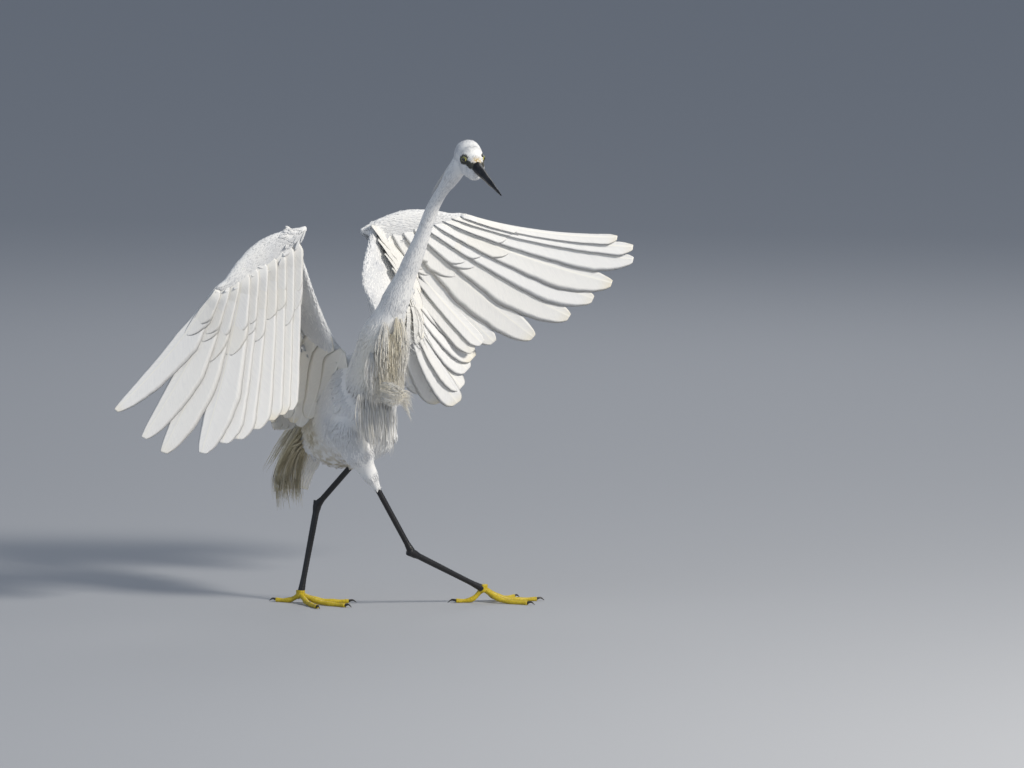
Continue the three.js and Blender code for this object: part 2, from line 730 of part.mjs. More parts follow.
// Tail: twelve feathers in a shallow fan
function tail() {
  const start = bodyPoint(-78, 0, 4);
  const tipLine = [];
  const rootLine = [];
  for (const way of [-1, -0.5, 0, 0.5, 1]) {
    const turn = way * TAIL_SPREAD;
    const along = BODY_AHEAD.clone().multiplyScalar(-Math.cos(turn))
      .addScaledVector(BODY_RIGHT, Math.sin(turn));
    tipLine.push(start.clone().addScaledVector(along, 22 + TAIL_LENGTH * (1 - 0.05 * Math.abs(way)))
      .addScaledVector(BODY_UP, -TAIL_DROOP - 4 * way * way));
    rootLine.push(start.clone().addScaledVector(BODY_RIGHT, way * 11));
  }
  const feathers = fan({
    count: TAIL_FEATHERS,
    roots: line(rootLine),
    tips: line(tipLine),
    dorsalHint: BODY_UP,
    width: () => TAIL_WIDTH,
    bow: () => 0,
    camber: 3,
    sharp: () => 7,
    leadShare: () => 0.5,
    seed: 71,
    steps: 3,
  });
  const core = limb([bodyPoint(-70, 0, 2), bodyPoint(-100, 0, 0), bodyPoint(-125, 0, -2)],
    (t) => [mix(20, 9, t), mix(12, 3, t)], 4, 10, UP);
  return unionOf([core, ...feathers.map((feather) => flightVane(feather))]).subtract(torsoCore(GAP));
}

// Legs
function thighCore(leg, grow = 0) {
  const end = leg.knee.clone().lerp(leg.ankle, 0.48);
  const middle = leg.knee.clone().lerp(end, 0.5);
  const hip = leg.knee.clone().lerp(BODY_MIDDLE, 0.4).add(V(0, 0, 10));
  const rows = [[0, 12, 12], [0.2, 20, 23], [0.5, 18, 20], [0.78, 10.5, 12], [1, 5.4, 5.6]];
  return limb([hip, leg.knee, middle, end], (t) => readAlong(rows, t), 9, 12, HEADING, grow);
}

// The far thigh lies against the near one where they cross under the belly
function thigh(leg) {
  const solid = thighCore(leg).subtract(torsoCore(GAP));
  return leg === LEFT_LEG ? solid.subtract(thighCore(RIGHT_LEG, GAP)) : solid;
}

function shank(leg) {
  const from = leg.knee.clone().lerp(leg.ankle, 0.4);
  const rows = [[0, SHANK_RADIUS, SHANK_RADIUS], [0.85, SHANK_RADIUS, SHANK_RADIUS], [1, 4.6, 4.8]];
  return limb([from, leg.ankle], (t) => readAlong(rows, t), 4, 8, HEADING);
}

function tarsus(leg, grow = 0) {
  const rows = [[0, 4.6, 4.8], [0.12, 3.5, 4], [0.8, 3, 3.5], [1, 3.8, 3.9]];
  return limb([leg.ankle, leg.footJoint], (t) => readAlong(rows, t), 6, 8, HEADING, grow);
}

function toeLine(leg, toe) {
  const turn = deg(toe.turn * leg.hand);
  const ahead = leg.foot.clone().applyAxisAngle(UP, turn);
  const along = (length) => leg.footJoint.clone().addScaledVector(ahead, length);
  const start = along(2);
  const low = along(toe.length * 0.36).setZ(mix(leg.footJoint.z, TOE_RADIUS, 0.86));
  const flat = along(toe.length * 0.6).setZ(TOE_RADIUS * 0.9 - TOE_FLAT);
  const end = along(toe.length).setZ(TOE_RADIUS * TOE_TAPER - TOE_FLAT);
  return { ahead, end, points: [start, low, flat, end] };
}

const floorUp = () => halfSpace(V(0, 0, 0), UP);

function toeCore(leg, toe, grow = 0) {
  const knuckles = toe.name === 'hind' ? 2 : 3;
  const radius = (t) => {
    const swell = 0.25 * Math.cos(t * knuckles * 2 * Math.PI);
    const half = mix(TOE_RADIUS, TOE_RADIUS * TOE_TAPER, t) + swell;
    return [half, half];
  };
  return limb(toeLine(leg, toe).points, radius, knuckles * 2 + 1, 8, UP, grow);
}

// A toe with a flat sole, clear of the pad, of the shank above and of the toes named before it
function toeSolid(leg, toe) {
  let solid = toeCore(leg, toe).intersect(floorUp());
  for (const other of TOES.slice(0, TOES.indexOf(toe))) solid = solid.subtract(toeCore(leg, other, GAP));
  return solid.subtract(footPad(leg, GAP)).subtract(tarsus(leg, GAP));
}

function clawSolid(leg, toe) {
  const { ahead, end } = toeLine(leg, toe);
  const from = end.clone().addScaledVector(ahead, GAP + 0.2);
  const middle = from.clone().addScaledVector(ahead, CLAW_LENGTH * 0.5).add(V(0, 0, 1.2));
  const tip = from.clone().addScaledVector(ahead, CLAW_LENGTH).setZ(0.7);
  return limb([from, middle, tip], (t) => [mix(1.7, 0.5, t), mix(1.9, 0.5, t)], 3, 6, UP);
}

function footPad(leg, grow = 0) {
  const joint = leg.footJoint;
  const low = joint.clone().add(V(0, 0, -2));
  return limb([joint.clone().add(V(0, 0, 4.5)), joint, low.addScaledVector(leg.foot, 1)],
    () => [5.2, 5.2], 2, 8, leg.foot, grow);
}

// The group of named pieces
const bird = new THREE.Group();

// The largest closed body of a solid, as a named mesh
function place(name, solid, paint) {
  const bodies = solid.decompose().sort((a, b) => b.volume() - a.volume());
  const mesh = bodies[0].getMesh();
  const geometry = new THREE.BufferGeometry();
  geometry.setAttribute('position', new THREE.BufferAttribute(new Float32Array(mesh.vertProperties), 3));
  geometry.setIndex(new THREE.BufferAttribute(new Uint32Array(mesh.triVerts), 1));
  geometry.computeVertexNormals();
  const piece = new THREE.Mesh(geometry, new THREE.MeshStandardMaterial(PAINT[paint]));
  piece.name = name;
  bird.add(piece);
}

place('torso', unionOf([torsoCore(), ...backPlumes()]), 'plumage');
place('neck_base', unionOf([neckLength(0, 0.42), ...breastPlumes()]).subtract(torsoCore(GAP)), 'plumage');
place('neck_middle', neckLength(0.42, 0.72), 'plumage');
place('neck_top', neckLength(0.72, 1).subtract(headCore(GAP)), 'plumage');
place('head', head(), 'plumage');
place('bill_upper', bill(true), 'bill');
place('bill_lower', bill(false), 'bill');
place('eye_right', ball(eyeAt(1), EYE_RADIUS), 'eye');
place('eye_left', ball(eyeAt(-1), EYE_RADIUS), 'eye');
place('tail', tail(), 'plumage');
place('wing_right_arm', wingArm(RIGHT_WING, 11, 23), 'plumage');
place('wing_right_hand', wingHand(RIGHT_WING, 23), 'plumage');
place('wing_left_arm', wingArm(LEFT_WING, 37, 51), 'plumage');
place('wing_left_hand', wingHand(LEFT_WING, 51), 'plumage');

for (const leg of [RIGHT_LEG, LEFT_LEG]) {
  place(`thigh_${leg.side}`, thigh(leg), 'plumage');
  const sleeve = unionOf([torsoCore(GAP), thighCore(leg, GAP), ball(leg.ankle, ANKLE_RADIUS + GAP)]);
  place(`shank_${leg.side}`, shank(leg).subtract(sleeve), 'shank');
  const lower = tarsus(leg).add(ball(leg.ankle, ANKLE_RADIUS));
  place(`tarsus_${leg.side}`, lower.subtract(footPad(leg, GAP)), 'shank');
  place(`foot_${leg.side}`, footPad(leg).intersect(floorUp()), 'toe');
  for (const toe of TOES) {
    place(`toe_${leg.side}_${toe.name}`, toeSolid(leg, toe), 'toe');
    place(`claw_${leg.side}_${toe.name}`, clawSolid(leg, toe), 'claw');
  }
}

// The bird is set so that the origin is on the floor under the middle of its box
const reach = new THREE.Box3().setFromObject(bird);
const middle = reach.getCenter(V(0, 0, 0));
bird.position.set(-middle.x, -middle.y, -reach.min.z);

const egret = new THREE.Group();
egret.add(bird);

export default egret;
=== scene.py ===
# %% [markdown]
# # A little egret, running with raised wings
#
# This lesson dresses a life-size model of a little egret. The solid parts of the bird come in as a fixed
# frame, and every piece made here is placed from the same named sizes. A real egret is skin under a coat:
# long vanes in fans on the wings and tail, small soft feathers everywhere else, and loose plumes on the back
# and breast. So the lesson makes one skin first, and then each kind of feather over it.

import json
import math

import bmesh
import bpy
import numpy as np
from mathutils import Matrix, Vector, kdtree

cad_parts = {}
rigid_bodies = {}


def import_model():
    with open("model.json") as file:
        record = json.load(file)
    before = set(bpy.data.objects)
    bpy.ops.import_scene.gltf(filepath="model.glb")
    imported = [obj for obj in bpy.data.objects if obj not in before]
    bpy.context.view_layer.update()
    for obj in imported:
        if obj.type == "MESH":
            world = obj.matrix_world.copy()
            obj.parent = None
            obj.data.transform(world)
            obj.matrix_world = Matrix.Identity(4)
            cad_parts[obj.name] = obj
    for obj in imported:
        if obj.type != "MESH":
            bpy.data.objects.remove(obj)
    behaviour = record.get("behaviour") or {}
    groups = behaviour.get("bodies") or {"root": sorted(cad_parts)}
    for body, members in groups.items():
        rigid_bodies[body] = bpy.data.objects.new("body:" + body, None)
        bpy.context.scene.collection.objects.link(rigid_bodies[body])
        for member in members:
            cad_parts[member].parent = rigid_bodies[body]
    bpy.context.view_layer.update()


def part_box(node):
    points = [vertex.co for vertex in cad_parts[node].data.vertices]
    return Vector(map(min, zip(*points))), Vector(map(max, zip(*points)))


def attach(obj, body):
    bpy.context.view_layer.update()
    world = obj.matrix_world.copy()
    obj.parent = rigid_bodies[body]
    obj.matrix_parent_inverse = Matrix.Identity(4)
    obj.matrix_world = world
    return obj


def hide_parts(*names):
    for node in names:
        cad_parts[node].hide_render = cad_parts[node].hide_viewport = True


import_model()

# %% [markdown]
# ## Sizes
#
# The bird is described in millimetres, as a bird carver would: where the joints are, how long the neck's line
# is, and where the feather tips reach. The frame's origin lies under the middle of the bird's box, so the
# place of one known part, the right eye, tells how far the described bird has to be shifted.

# %% The bird's sizes
def point(*xyz):
    return np.array(xyz, float)


def unit(v):
    return v / np.linalg.norm(v)


UP = point(0, 0, 1)
HEADING = unit(point(0.482, -0.876, 0))
BODY_PITCH = math.radians(28)
BODY_MIDDLE = point(-28, 20, 211)
BODY_FRONT_REACH, BODY_REAR_REACH = 86, 100
BODY_HALF_WIDTH, BODY_HALF_DEPTH = 43, 57
BODY_RIGHT = unit(np.cross(HEADING, UP))
BODY_AHEAD = HEADING * math.cos(BODY_PITCH) + UP * math.sin(BODY_PITCH)
BODY_UP = unit(np.cross(BODY_RIGHT, BODY_AHEAD))
ACROSS_BREAST = np.cross(UP, HEADING)

NECK_LINE = [
    point(-4, -26, 250), point(6, -43, 298), point(19, -56, 337), point(33, -66, 372),
    point(49, -78, 412), point(66, -92, 458), point(82, -103, 485), point(99, -106, 511),
]
NECK_ROWS = [
    (0, 30, 33), (0.18, 25, 28), (0.34, 16, 18), (0.5, 11.5, 12.5), (0.7, 8.6, 9.2), (0.84, 7.6, 8),
    (0.93, 10.6, 11.8), (1, 11.4, 12.2),
]
BILL_BASE = point(113, -138, 503)
BILL_TIP = point(139, -216, 482)
HEAD_LENGTH, HEAD_FRONT = 54, 4
HEAD_HALF_WIDTH, HEAD_HALF_HEIGHT = 16.5, 19.5
HEAD_AHEAD = unit(BILL_TIP - BILL_BASE)
HEAD_RIGHT = unit(np.cross(HEAD_AHEAD, UP))
HEAD_UP = unit(np.cross(HEAD_RIGHT, HEAD_AHEAD))
EYE_BACK, EYE_SIDE, EYE_UP, EYE_RADIUS = 16, 9.8, 4.8, 4.6


def body_point(ahead, right, up):
    return BODY_MIDDLE + BODY_AHEAD * ahead + BODY_RIGHT * right + BODY_UP * up


def head_point(ahead, right, up):
    return BILL_BASE + HEAD_AHEAD * ahead + HEAD_RIGHT * right + HEAD_UP * up


low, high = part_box("eye_right")
SHIFT = (np.array(low) + np.array(high)) * 500 - head_point(-EYE_BACK, EYE_SIDE, EYE_UP)


def metres(points):
    return (np.asarray(points, float) + SHIFT) * 0.001


print("shift in mm", SHIFT.round(2))

# %% [markdown]
# ## Wings and legs
#
# Each wing hangs on three joints and ends in a line of feather tips. The photo fixes the tips one by one.
# A toe is given by its name, its turn from the foot's line in degrees, and its length.

# %% Wing and leg sizes
RIGHT_WING = dict(
    name="right", seed=11, shoulder=point(-35, -16, 287), elbow=point(-97, 25, 345),
    wrist=point(-88, -62, 424), hand_end=point(-172, -80, 368),
    primary_tips=[
        point(-94, -50, 223), point(-104, -54, 217), point(-116, -58, 211), point(-132, -62, 204),
        point(-151, -66, 193), point(-168, -70, 186), point(-191, -74, 179), point(-234, -77, 180),
        point(-257, -80, 194), point(-287, -84, 227),
    ],
    secondary_tips=[
        point(-76, 60, 206), point(-92, 52, 192), point(-106, 38, 190), point(-114, 14, 204),
        point(-110, -16, 228), point(-104, -38, 250),
    ],
    dorsal=point(0.1, 1, 0.2), arm_dorsal=point(-0.75, 0.6, 0.35), root_lead=2, front_bulge=-9,
    hand_bulge=11, secondaries=12,
)
LEFT_WING = dict(
    name="left", seed=37, shoulder=point(3, 8, 290), elbow=point(34, 72, 328), wrist=point(-4, 120, 410),
    hand_end=point(92, 138, 423),
    primary_tips=[
        point(110, 143, 264), point(120, 144, 273), point(132, 146, 276), point(178, 147, 280),
        point(217, 148, 304), point(244, 149, 324), point(267, 150, 341), point(287, 150, 369),
        point(287, 149, 383), point(269, 148, 394),
    ],
    secondary_tips=[
        point(14, 128, 238), point(25, 131, 233), point(39, 134, 227), point(55, 138, 219),
        point(72, 142, 209), point(92, 146, 206), point(97, 149, 224), point(104, 152, 243),
        point(109, 154, 257), point(112, 156, 269),
    ],
    dorsal=point(-0.05, 1, 0.1), arm_dorsal=point(-0.5, 1, 0.25), root_lead=17, front_bulge=18,
    hand_bulge=8, secondaries=10,
)
WINGS = (RIGHT_WING, LEFT_WING)
LEGS = (
    dict(name="right", hand=1, knee=point(-32, -24, 200), ankle=point(40.7, -4, 61.5),
         joint=point(119, 45, 15), foot=unit(point(1, 0.22, 0))),
    dict(name="left", hand=-1, knee=point(6, -12, 196), ankle=point(-64, 50, 108),
         joint=point(-82.5, 38, 9.5), foot=unit(point(0.82, -0.57, 0))),
)
TOES = [("middle", 0, 60), ("inner", 33, 48), ("outer", -36, 53), ("hind", 172, 30)]
TOE_RADIUS, TOE_TAPER, TOE_FLAT, CLAW_LENGTH = 2.9, 0.8, 0.4, 9

# %% [markdown]
# ## Curves and lofts
#
# Necks, limbs and toes are all tubes of changing section round a smooth line. A centripetal spline is used
# for the lines, because it never loops where its points come close. A loft is kept as a grid of points, so
# that each of its points also knows its place along and around the limb.

# %% Curve and loft helpers
class Line:
    def __init__(self, points):
        self.p = [np.asarray(q, float) for q in points]
        self.stops = np.linspace(0, 1, 161)
        steps = np.linalg.norm(np.diff([self.point(t) for t in self.stops], axis=0), axis=1)
        self.length = np.concatenate([[0], np.cumsum(steps)])

    def point(self, t):
        """The point at t when every stretch between two given points counts alike."""
        p = self.p
        place = (len(p) - 1) * min(max(t, 0), 1)
        i = min(int(place), len(p) - 2)
        w = place - i
        a = p[i - 1] if i > 0 else 2 * p[0] - p[1]
        d = p[i + 2] if i + 2 < len(p) else 2 * p[-1] - p[-2]
        b, c = p[i], p[i + 1]
        d0, d1, d2 = (max(1e-4, np.linalg.norm(v)) ** 0.5 for v in (b - a, c - b, d - c))
        t1 = ((b - a) / d0 - (c - a) / (d0 + d1) + (c - b) / d1) * d1
        t2 = ((c - b) / d1 - (d - b) / (d1 + d2) + (d - c) / d2) * d1
        return b + t1 * w + (3 * (c - b) - 2 * t1 - t2) * w * w + (2 * (b - c) + t1 + t2) * w**3

    def at(self, t):
        """The point at a share t of the line's length."""
        return self.point(np.interp(min(max(t, 0), 1) * self.length[-1], self.length, self.stops))

    def tangent(self, t):
        return unit(self.at(min(t + 0.004, 1)) - self.at(max(t - 0.004, 0)))


def mix(a, b, t):
    return a + (b - a) * t


def read_along(rows, t):
    """The values of a table at t, eased between its rows."""
    i = 0
    while i < len(rows) - 2 and t > rows[i + 1][0]:
        i += 1
    u = min(max((t - rows[i][0]) / (rows[i + 1][0] - rows[i][0]), 0), 1)
    u = u * u * (3 - 2 * u)
    return [mix(a, b, u) for a, b in zip(rows[i][1:], rows[i + 1][1:])]


def round_turns(count):
    return np.arange(count) / count * 2 * math.pi


def oval(at, side, up, half_width, half_height, count):
    turns = round_turns(count)
    return at + np.outer(np.cos(turns) * half_width, side) + np.outer(np.sin(turns) * half_height, up)


def teardrop(at, back, up, half, thick, count):
    turns = round_turns(count)
    lift = np.sin(turns) * thick * (0.72 - 0.42 * np.cos(turns))
    return at + np.outer(np.cos(turns) * half, back) + np.outer(lift, up)


def limb_rings(points, radius, steps, count, hint=UP):
    curve = Line(points)
    rings = []
    for i in range(steps + 1):
        t = i / steps
        along = curve.tangent(t)
        side = unit(np.cross(along, hint))
        rings.append(oval(curve.at(t), side, unit(np.cross(side, along)), *radius(t), count))
    return rings


def closed_mesh(rings):
    """Points and faces of a closed skin over rings, with a point at each end."""
    n, m = len(rings), len(rings[0])
    points = np.concatenate([*rings, [rings[0].mean(0)], [rings[-1].mean(0)]])
    faces = []
    for i in range(n - 1):
        for j in range(m):
            a, b = i * m + j, i * m + (j + 1) % m
            faces.append((a, b, b + m, a + m))
    for j in range(m):
        faces.append((n * m, (j + 1) % m, j))
        faces.append((n * m + 1, (n - 1) * m + j, (n - 1) * m + (j + 1) % m))
    return points, faces


def smooth_mesh(name, points, faces):
    mesh = bpy.data.meshes.new(name)
    mesh.from_pydata([tuple(p) for p in points], [], faces)
    work = bmesh.new()
    work.from_mesh(mesh)
    bmesh.ops.recalc_face_normals(work, faces=work.faces)
    work.to_mesh(mesh)
    work.free()
    mesh.polygons.foreach_set("use_smooth", [True] * len(mesh.polygons))
    return mesh


def show(name, mesh):
    piece = bpy.data.objects.new(name, mesh)
    bpy.context.scene.collection.objects.link(piece)
    return piece


def make_object(name, points, faces):
    return show(name, smooth_mesh(name, metres(points), faces))


def add_values(mesh, name, values, kind="FLOAT"):
    layer = mesh.attributes.new(name, kind, "POINT")
    layer.data.foreach_set("value" if kind == "FLOAT" else "vector", np.asarray(values, np.float32).ravel())


def add_map(mesh, name, places):
    """A flat map from one place for each point."""
    corner = np.array([loop.vertex_index for loop in mesh.loops])
    layer = mesh.uv_layers.new(name=name)
    layer.data.foreach_set("uv", np.concatenate(places)[corner].astype(np.float32).ravel())


def joined(parts):
    points, faces, start = [], [], 0
    for p, f in parts:
        points.append(p)
        faces += [tuple(i + start for i in face) for face in f]
        start += len(p)
    return np.concatenate(points), faces


neck_curve = Line(NECK_LINE)
print("neck length in mm", round(neck_curve.length[-1], 1))

# %% [markdown]
# ## One skin
#
# Under its coat an egret is one smooth body, so all the fleshy parts share one skin and no seam shows. Each
# part is lofted a little slimmer than the solid bird, by the depth of its coat. A voxel remesh then fuses the
# lofts, and it doesn't mind how they cross. The rows below give a share of the length first, and then the
# half width, the half height and, for torso and head, the rise of the section's middle.

# %% Lofts of the skin
TORSO_ROWS = [
    (0, 0.3, 0.22, 0.1), (0.14, 0.6, 0.5, 0.04), (0.34, 0.94, 0.86, 0), (0.56, 1, 1, 0),
    (0.76, 0.92, 0.94, 0.1), (0.91, 0.66, 0.74, 0.16), (1, 0.36, 0.44, 0.16),
]
HEAD_ROWS = [
    (0, 0.44, 0.5, -0.2), (0.2, 0.72, 0.8, -0.16), (0.42, 0.92, 1, -0.02), (0.66, 1, 1, 0.07),
    (0.85, 0.84, 0.83, 0.05), (0.95, 0.6, 0.6, 0.01), (1, 0.22, 0.22, 0),
]
THIGH_ROWS = [(0, 12, 12), (0.2, 20, 23), (0.5, 18, 20), (0.78, 10.5, 12), (1, 5.4, 5.6)]
HAND_ROWS = [(-0.14, 6, 0.6), (0.05, 15, 1), (0.35, 20, 1), (0.7, 16, 0.95), (1, 8, 0.8), (1.08, 4, 0.5)]
ARM_THICK, HAND_THICK = 10, 7.6
COAT_DEPTH = dict(torso=3, neck=1.1, head=1.2, thigh=2.2, arm=2.2, hand=2.2)


def torso_rings(steps, count):
    rings = []
    for t in np.linspace(0, 1, steps + 1):
        wide, deep, rise = read_along(TORSO_ROWS, t)
        at = body_point(mix(-BODY_REAR_REACH, BODY_FRONT_REACH, t), 0, rise * BODY_HALF_DEPTH)
        width = BODY_HALF_WIDTH * wide - COAT_DEPTH["torso"]
        depth = BODY_HALF_DEPTH * deep - COAT_DEPTH["torso"]
        rings.append(oval(at, BODY_RIGHT, BODY_UP, width, depth, count))
    return rings


def neck_radius(t):
    return [value - COAT_DEPTH["neck"] for value in read_along(NECK_ROWS, t)]


def head_rings(steps, count):
    rings = []
    for t in np.linspace(0, 1, steps + 1):
        wide, high, rise = read_along(HEAD_ROWS, t)
        at = head_point(mix(HEAD_FRONT, -HEAD_LENGTH, t), 0, rise * HEAD_HALF_HEIGHT)
        half_width = HEAD_HALF_WIDTH * wide - COAT_DEPTH["head"]
        half_height = HEAD_HALF_HEIGHT * high - COAT_DEPTH["head"]
        rings.append(oval(at, HEAD_RIGHT, HEAD_UP, half_width, half_height, count))
    return rings


def thigh_line(leg):
    end = mix(leg["knee"], leg["ankle"], 0.48)
    return [mix(leg["knee"], BODY_MIDDLE, 0.4) + 10 * UP, leg["knee"], mix(leg["knee"], end, 0.5), end]


def thigh_radius(t):
    coat = COAT_DEPTH["thigh"] * (1 - 0.55 * t)
    return [value - coat for value in read_along(THIGH_ROWS, t)]


def wing_root(wing):
    return wing["shoulder"] - BODY_AHEAD * 60 + UP * 6


def arm_rings(wing, steps, count):
    """Rings of the web between shoulder, elbow and wrist, each from its front edge to behind the bones."""
    rings = []
    bones = Line([wing_root(wing), wing["elbow"], wing["wrist"]])
    reach = wing["wrist"] - wing["shoulder"]
    fall = unit(wing["secondary_tips"][2] - wing["elbow"])
    for t in np.linspace(-0.2, 1, steps + 1):
        arch = math.sin(math.pi * max(0, t))
        back = bones.point(max(0, t)) + reach * min(0, t)
        front = wing["shoulder"] + reach * t
        chord = back - front + fall * (14 + 10 * arch)
        chord -= unit(reach) * np.dot(chord, unit(reach))
        lead = mix(wing["root_lead"], 4, max(0, t))
        lead += wing["front_bulge"] * math.sin(math.pi * max(0, t) ** 0.65)
        half = (np.linalg.norm(chord) + lead) / 2 + 2
        side = unit(chord)
        thick = ARM_THICK * (1 - 0.25 * t) - COAT_DEPTH["arm"]
        up = unit(np.cross(unit(reach), side))
        rings.append(teardrop(front + side * (half - lead), side, up, half - 4, thick, count))
    return rings


def hand_axes(wing):
    along = wing["hand_end"] - wing["wrist"]
    back = wing["primary_tips"][2] - wing["wrist"]
    back = unit(back - along * np.dot(back, along) / np.dot(along, along))
    dorsal = unit(np.cross(along, back))
    return along, back, dorsal if np.dot(dorsal, wing["dorsal"]) > 0 else -dorsal


def hand_rings(wing, steps, count):
    along, back, dorsal = hand_axes(wing)
    rings = []
    for t in np.linspace(-0.14, 1.04, steps + 1):
        half, share = read_along(HAND_ROWS, t)
        rise = wing["hand_bulge"] * math.sin(math.pi * min(max(t + 0.1, 0), 1))
        at = wing["wrist"] + along * t + back * (half * 0.66 - rise)
        thick = max(HAND_THICK * share - COAT_DEPTH["hand"], 1.4)
        rings.append(teardrop(at, back, dorsal, max(half - 3, 2), thick, count))
    return rings


# %% [markdown]
# ### Which way the coat lies
#
# Every point of a loft keeps the direction in which feathers lie there, the length of a feather in
# millimetres, and the part of the bird. On body and neck the coat runs backwards and down. On the wings it
# runs from the front edge outwards, and it is short and tight at that edge.

# %% Which way the coat lies
lofts, lie_points, lie_ways, lie_sizes, lie_parts = [], [], [], [], []
PARTS = ["torso", "neck", "head", "thigh", "arm", "hand"]


def add_loft(part, rings, way, size):
    """Keeps a loft. "front" is 0 at the start of a ring and 1 opposite, at a wing's front edge."""
    lofts.append(closed_mesh(rings))
    for i, ring in enumerate(rings):
        t = i / (len(rings) - 1)
        for j, at in enumerate(ring):
            front = (1 - math.cos(j / len(ring) * 2 * math.pi)) / 2
            lie_points.append(at)
            lie_ways.append(way(t, at, front))
            lie_sizes.append(size(t, at, front))
            lie_parts.append(PARTS.index(part))


def torso_way(t, at, front):
    below = max(0, -np.dot(at - BODY_MIDDLE, BODY_UP) / BODY_HALF_DEPTH)
    return unit(-BODY_AHEAD * (1 - 0.25 * t) - UP * (0.25 + 0.75 * t) * (0.4 + below))


def torso_size(t, at, front):
    above = np.dot(at - BODY_MIDDLE, BODY_UP) / BODY_HALF_DEPTH
    return mix(15, 11, t) - 3 * max(0, above)


add_loft("torso", torso_rings(22, 36), torso_way, torso_size)
add_loft(
    "neck", limb_rings(NECK_LINE, neck_radius, 44, 24, HEADING),
    lambda t, *_: -neck_curve.tangent(t), lambda t, *_: mix(12, 4.5, min(1, t * 1.6)),
)
add_loft(
    "head", head_rings(24, 32),
    lambda t, at, _: unit(-HEAD_AHEAD + 0.25 * unit(at - head_point(-HEAD_LENGTH * t, 0, 0))),
    lambda t, *_: mix(2.2, 5.5, t),
)
for leg in LEGS:
    curve = Line(thigh_line(leg))
    add_loft(
        "thigh", limb_rings(thigh_line(leg), thigh_radius, 24, 20, HEADING),
        lambda t, *_: unit(curve.tangent(t) * (0.3 + t) - BODY_AHEAD * 0.5 * (1 - t)),
        lambda t, *_: mix(10, 6, t),
    )
for wing in WINGS:
    fall = unit(wing["secondary_tips"][2] - wing["elbow"])
    sweep = unit(wing["primary_tips"][4] - wing["wrist"])
    outwards = unit(wing["wrist"] - wing["shoulder"])
    handwards = unit(wing["hand_end"] - wing["wrist"])
    add_loft(
        "arm", arm_rings(wing, 20, 28),
        lambda t, at, front: unit(fall * (1 - front) + outwards), lambda t, at, front: mix(18, 6, front),
    )
    add_loft(
        "hand", hand_rings(wing, 18, 24), lambda t, at, front: unit(sweep * (1 - front) + handwards),
        lambda t, at, front: mix(17, 5.5, front) * (1 - 0.55 * t),
    )

# %% [markdown]
# ### Fusing the skin
#
# A remesh modifier turns the crossing lofts into one closed surface, and a light smoothing takes the steps of
# the voxels out. Each point of the skin then reads its coat from the nearest loft points.

# %% Fuse the skin
SKIN_VOXEL, NEAR_POINTS, NEAR_SOFTENING = 0.0018, 8, 0.002

skin = make_object("skin", *joined(lofts))
fuse = skin.modifiers.new("fuse", "REMESH")
fuse.mode = "VOXEL"
fuse.voxel_size = SKIN_VOXEL
soften = skin.modifiers.new("soften", "SMOOTH")
soften.factor, soften.iterations = 0.6, 6
skin.data = bpy.data.meshes.new_from_object(skin.evaluated_get(bpy.context.evaluated_depsgraph_get()))
skin.modifiers.clear()
skin.data.polygons.foreach_set("use_smooth", [True] * len(skin.data.polygons))

tree = kdtree.KDTree(len(lie_points))
for i, place in enumerate(metres(lie_points)):
    tree.insert(place, i)
tree.balance()
skin_points = np.empty(len(skin.data.vertices) * 3)
skin.data.vertices.foreach_get("co", skin_points)
skin_points = skin_points.reshape(-1, 3)
skin_way = np.zeros((len(skin_points), 3))
skin_size, weights = np.zeros(len(skin_points)), np.zeros(len(skin_points))
skin_part = np.zeros((len(skin_points), len(PARTS)))
for n, place in enumerate(skin_points):
    for _, i, away in tree.find_n(place, NEAR_POINTS):
        weight = 1 / (away + NEAR_SOFTENING)
        skin_way[n] += lie_ways[i] * weight
        skin_size[n] += lie_sizes[i] * weight
        skin_part[n, lie_parts[i]] += weight
        weights[n] += weight
skin_part /= skin_part.sum(1, keepdims=True)
skin_size /= weights
skin_way /= np.maximum(np.linalg.norm(skin_way, axis=1, keepdims=True), 1e-6)
add_values(skin.data, "way", skin_way, "FLOAT_VECTOR")
add_values(skin.data, "tuft", skin_size * 0.001)
print("skin points", len(skin_points), "faces", len(skin.data.polygons))

# %% [markdown]
# ## Vanes
#
# A flight feather is a thin, slightly cupped blade on a tapering shaft. A grid of points across and along
# the blade, closed round its edge, gives a solid one with few faces. Two maps go with it. "vane" tells the
# material how far a spot is from the shaft and from the root, in centimetres, so that the barbs can be drawn.
# "OFBake" lays every blade flat in its own place of one sheet.

# %% A blade
BLADE_TOP = np.array([-1, -0.72, -0.4, -0.12, 0, 0.12, 0.45, 0.75, 1])
BLADE_ACROSS = np.concatenate([BLADE_TOP, BLADE_TOP[-2:0:-1]])
BLADE_FACE = np.concatenate([[0], np.ones(7), [0], -np.ones(7)])


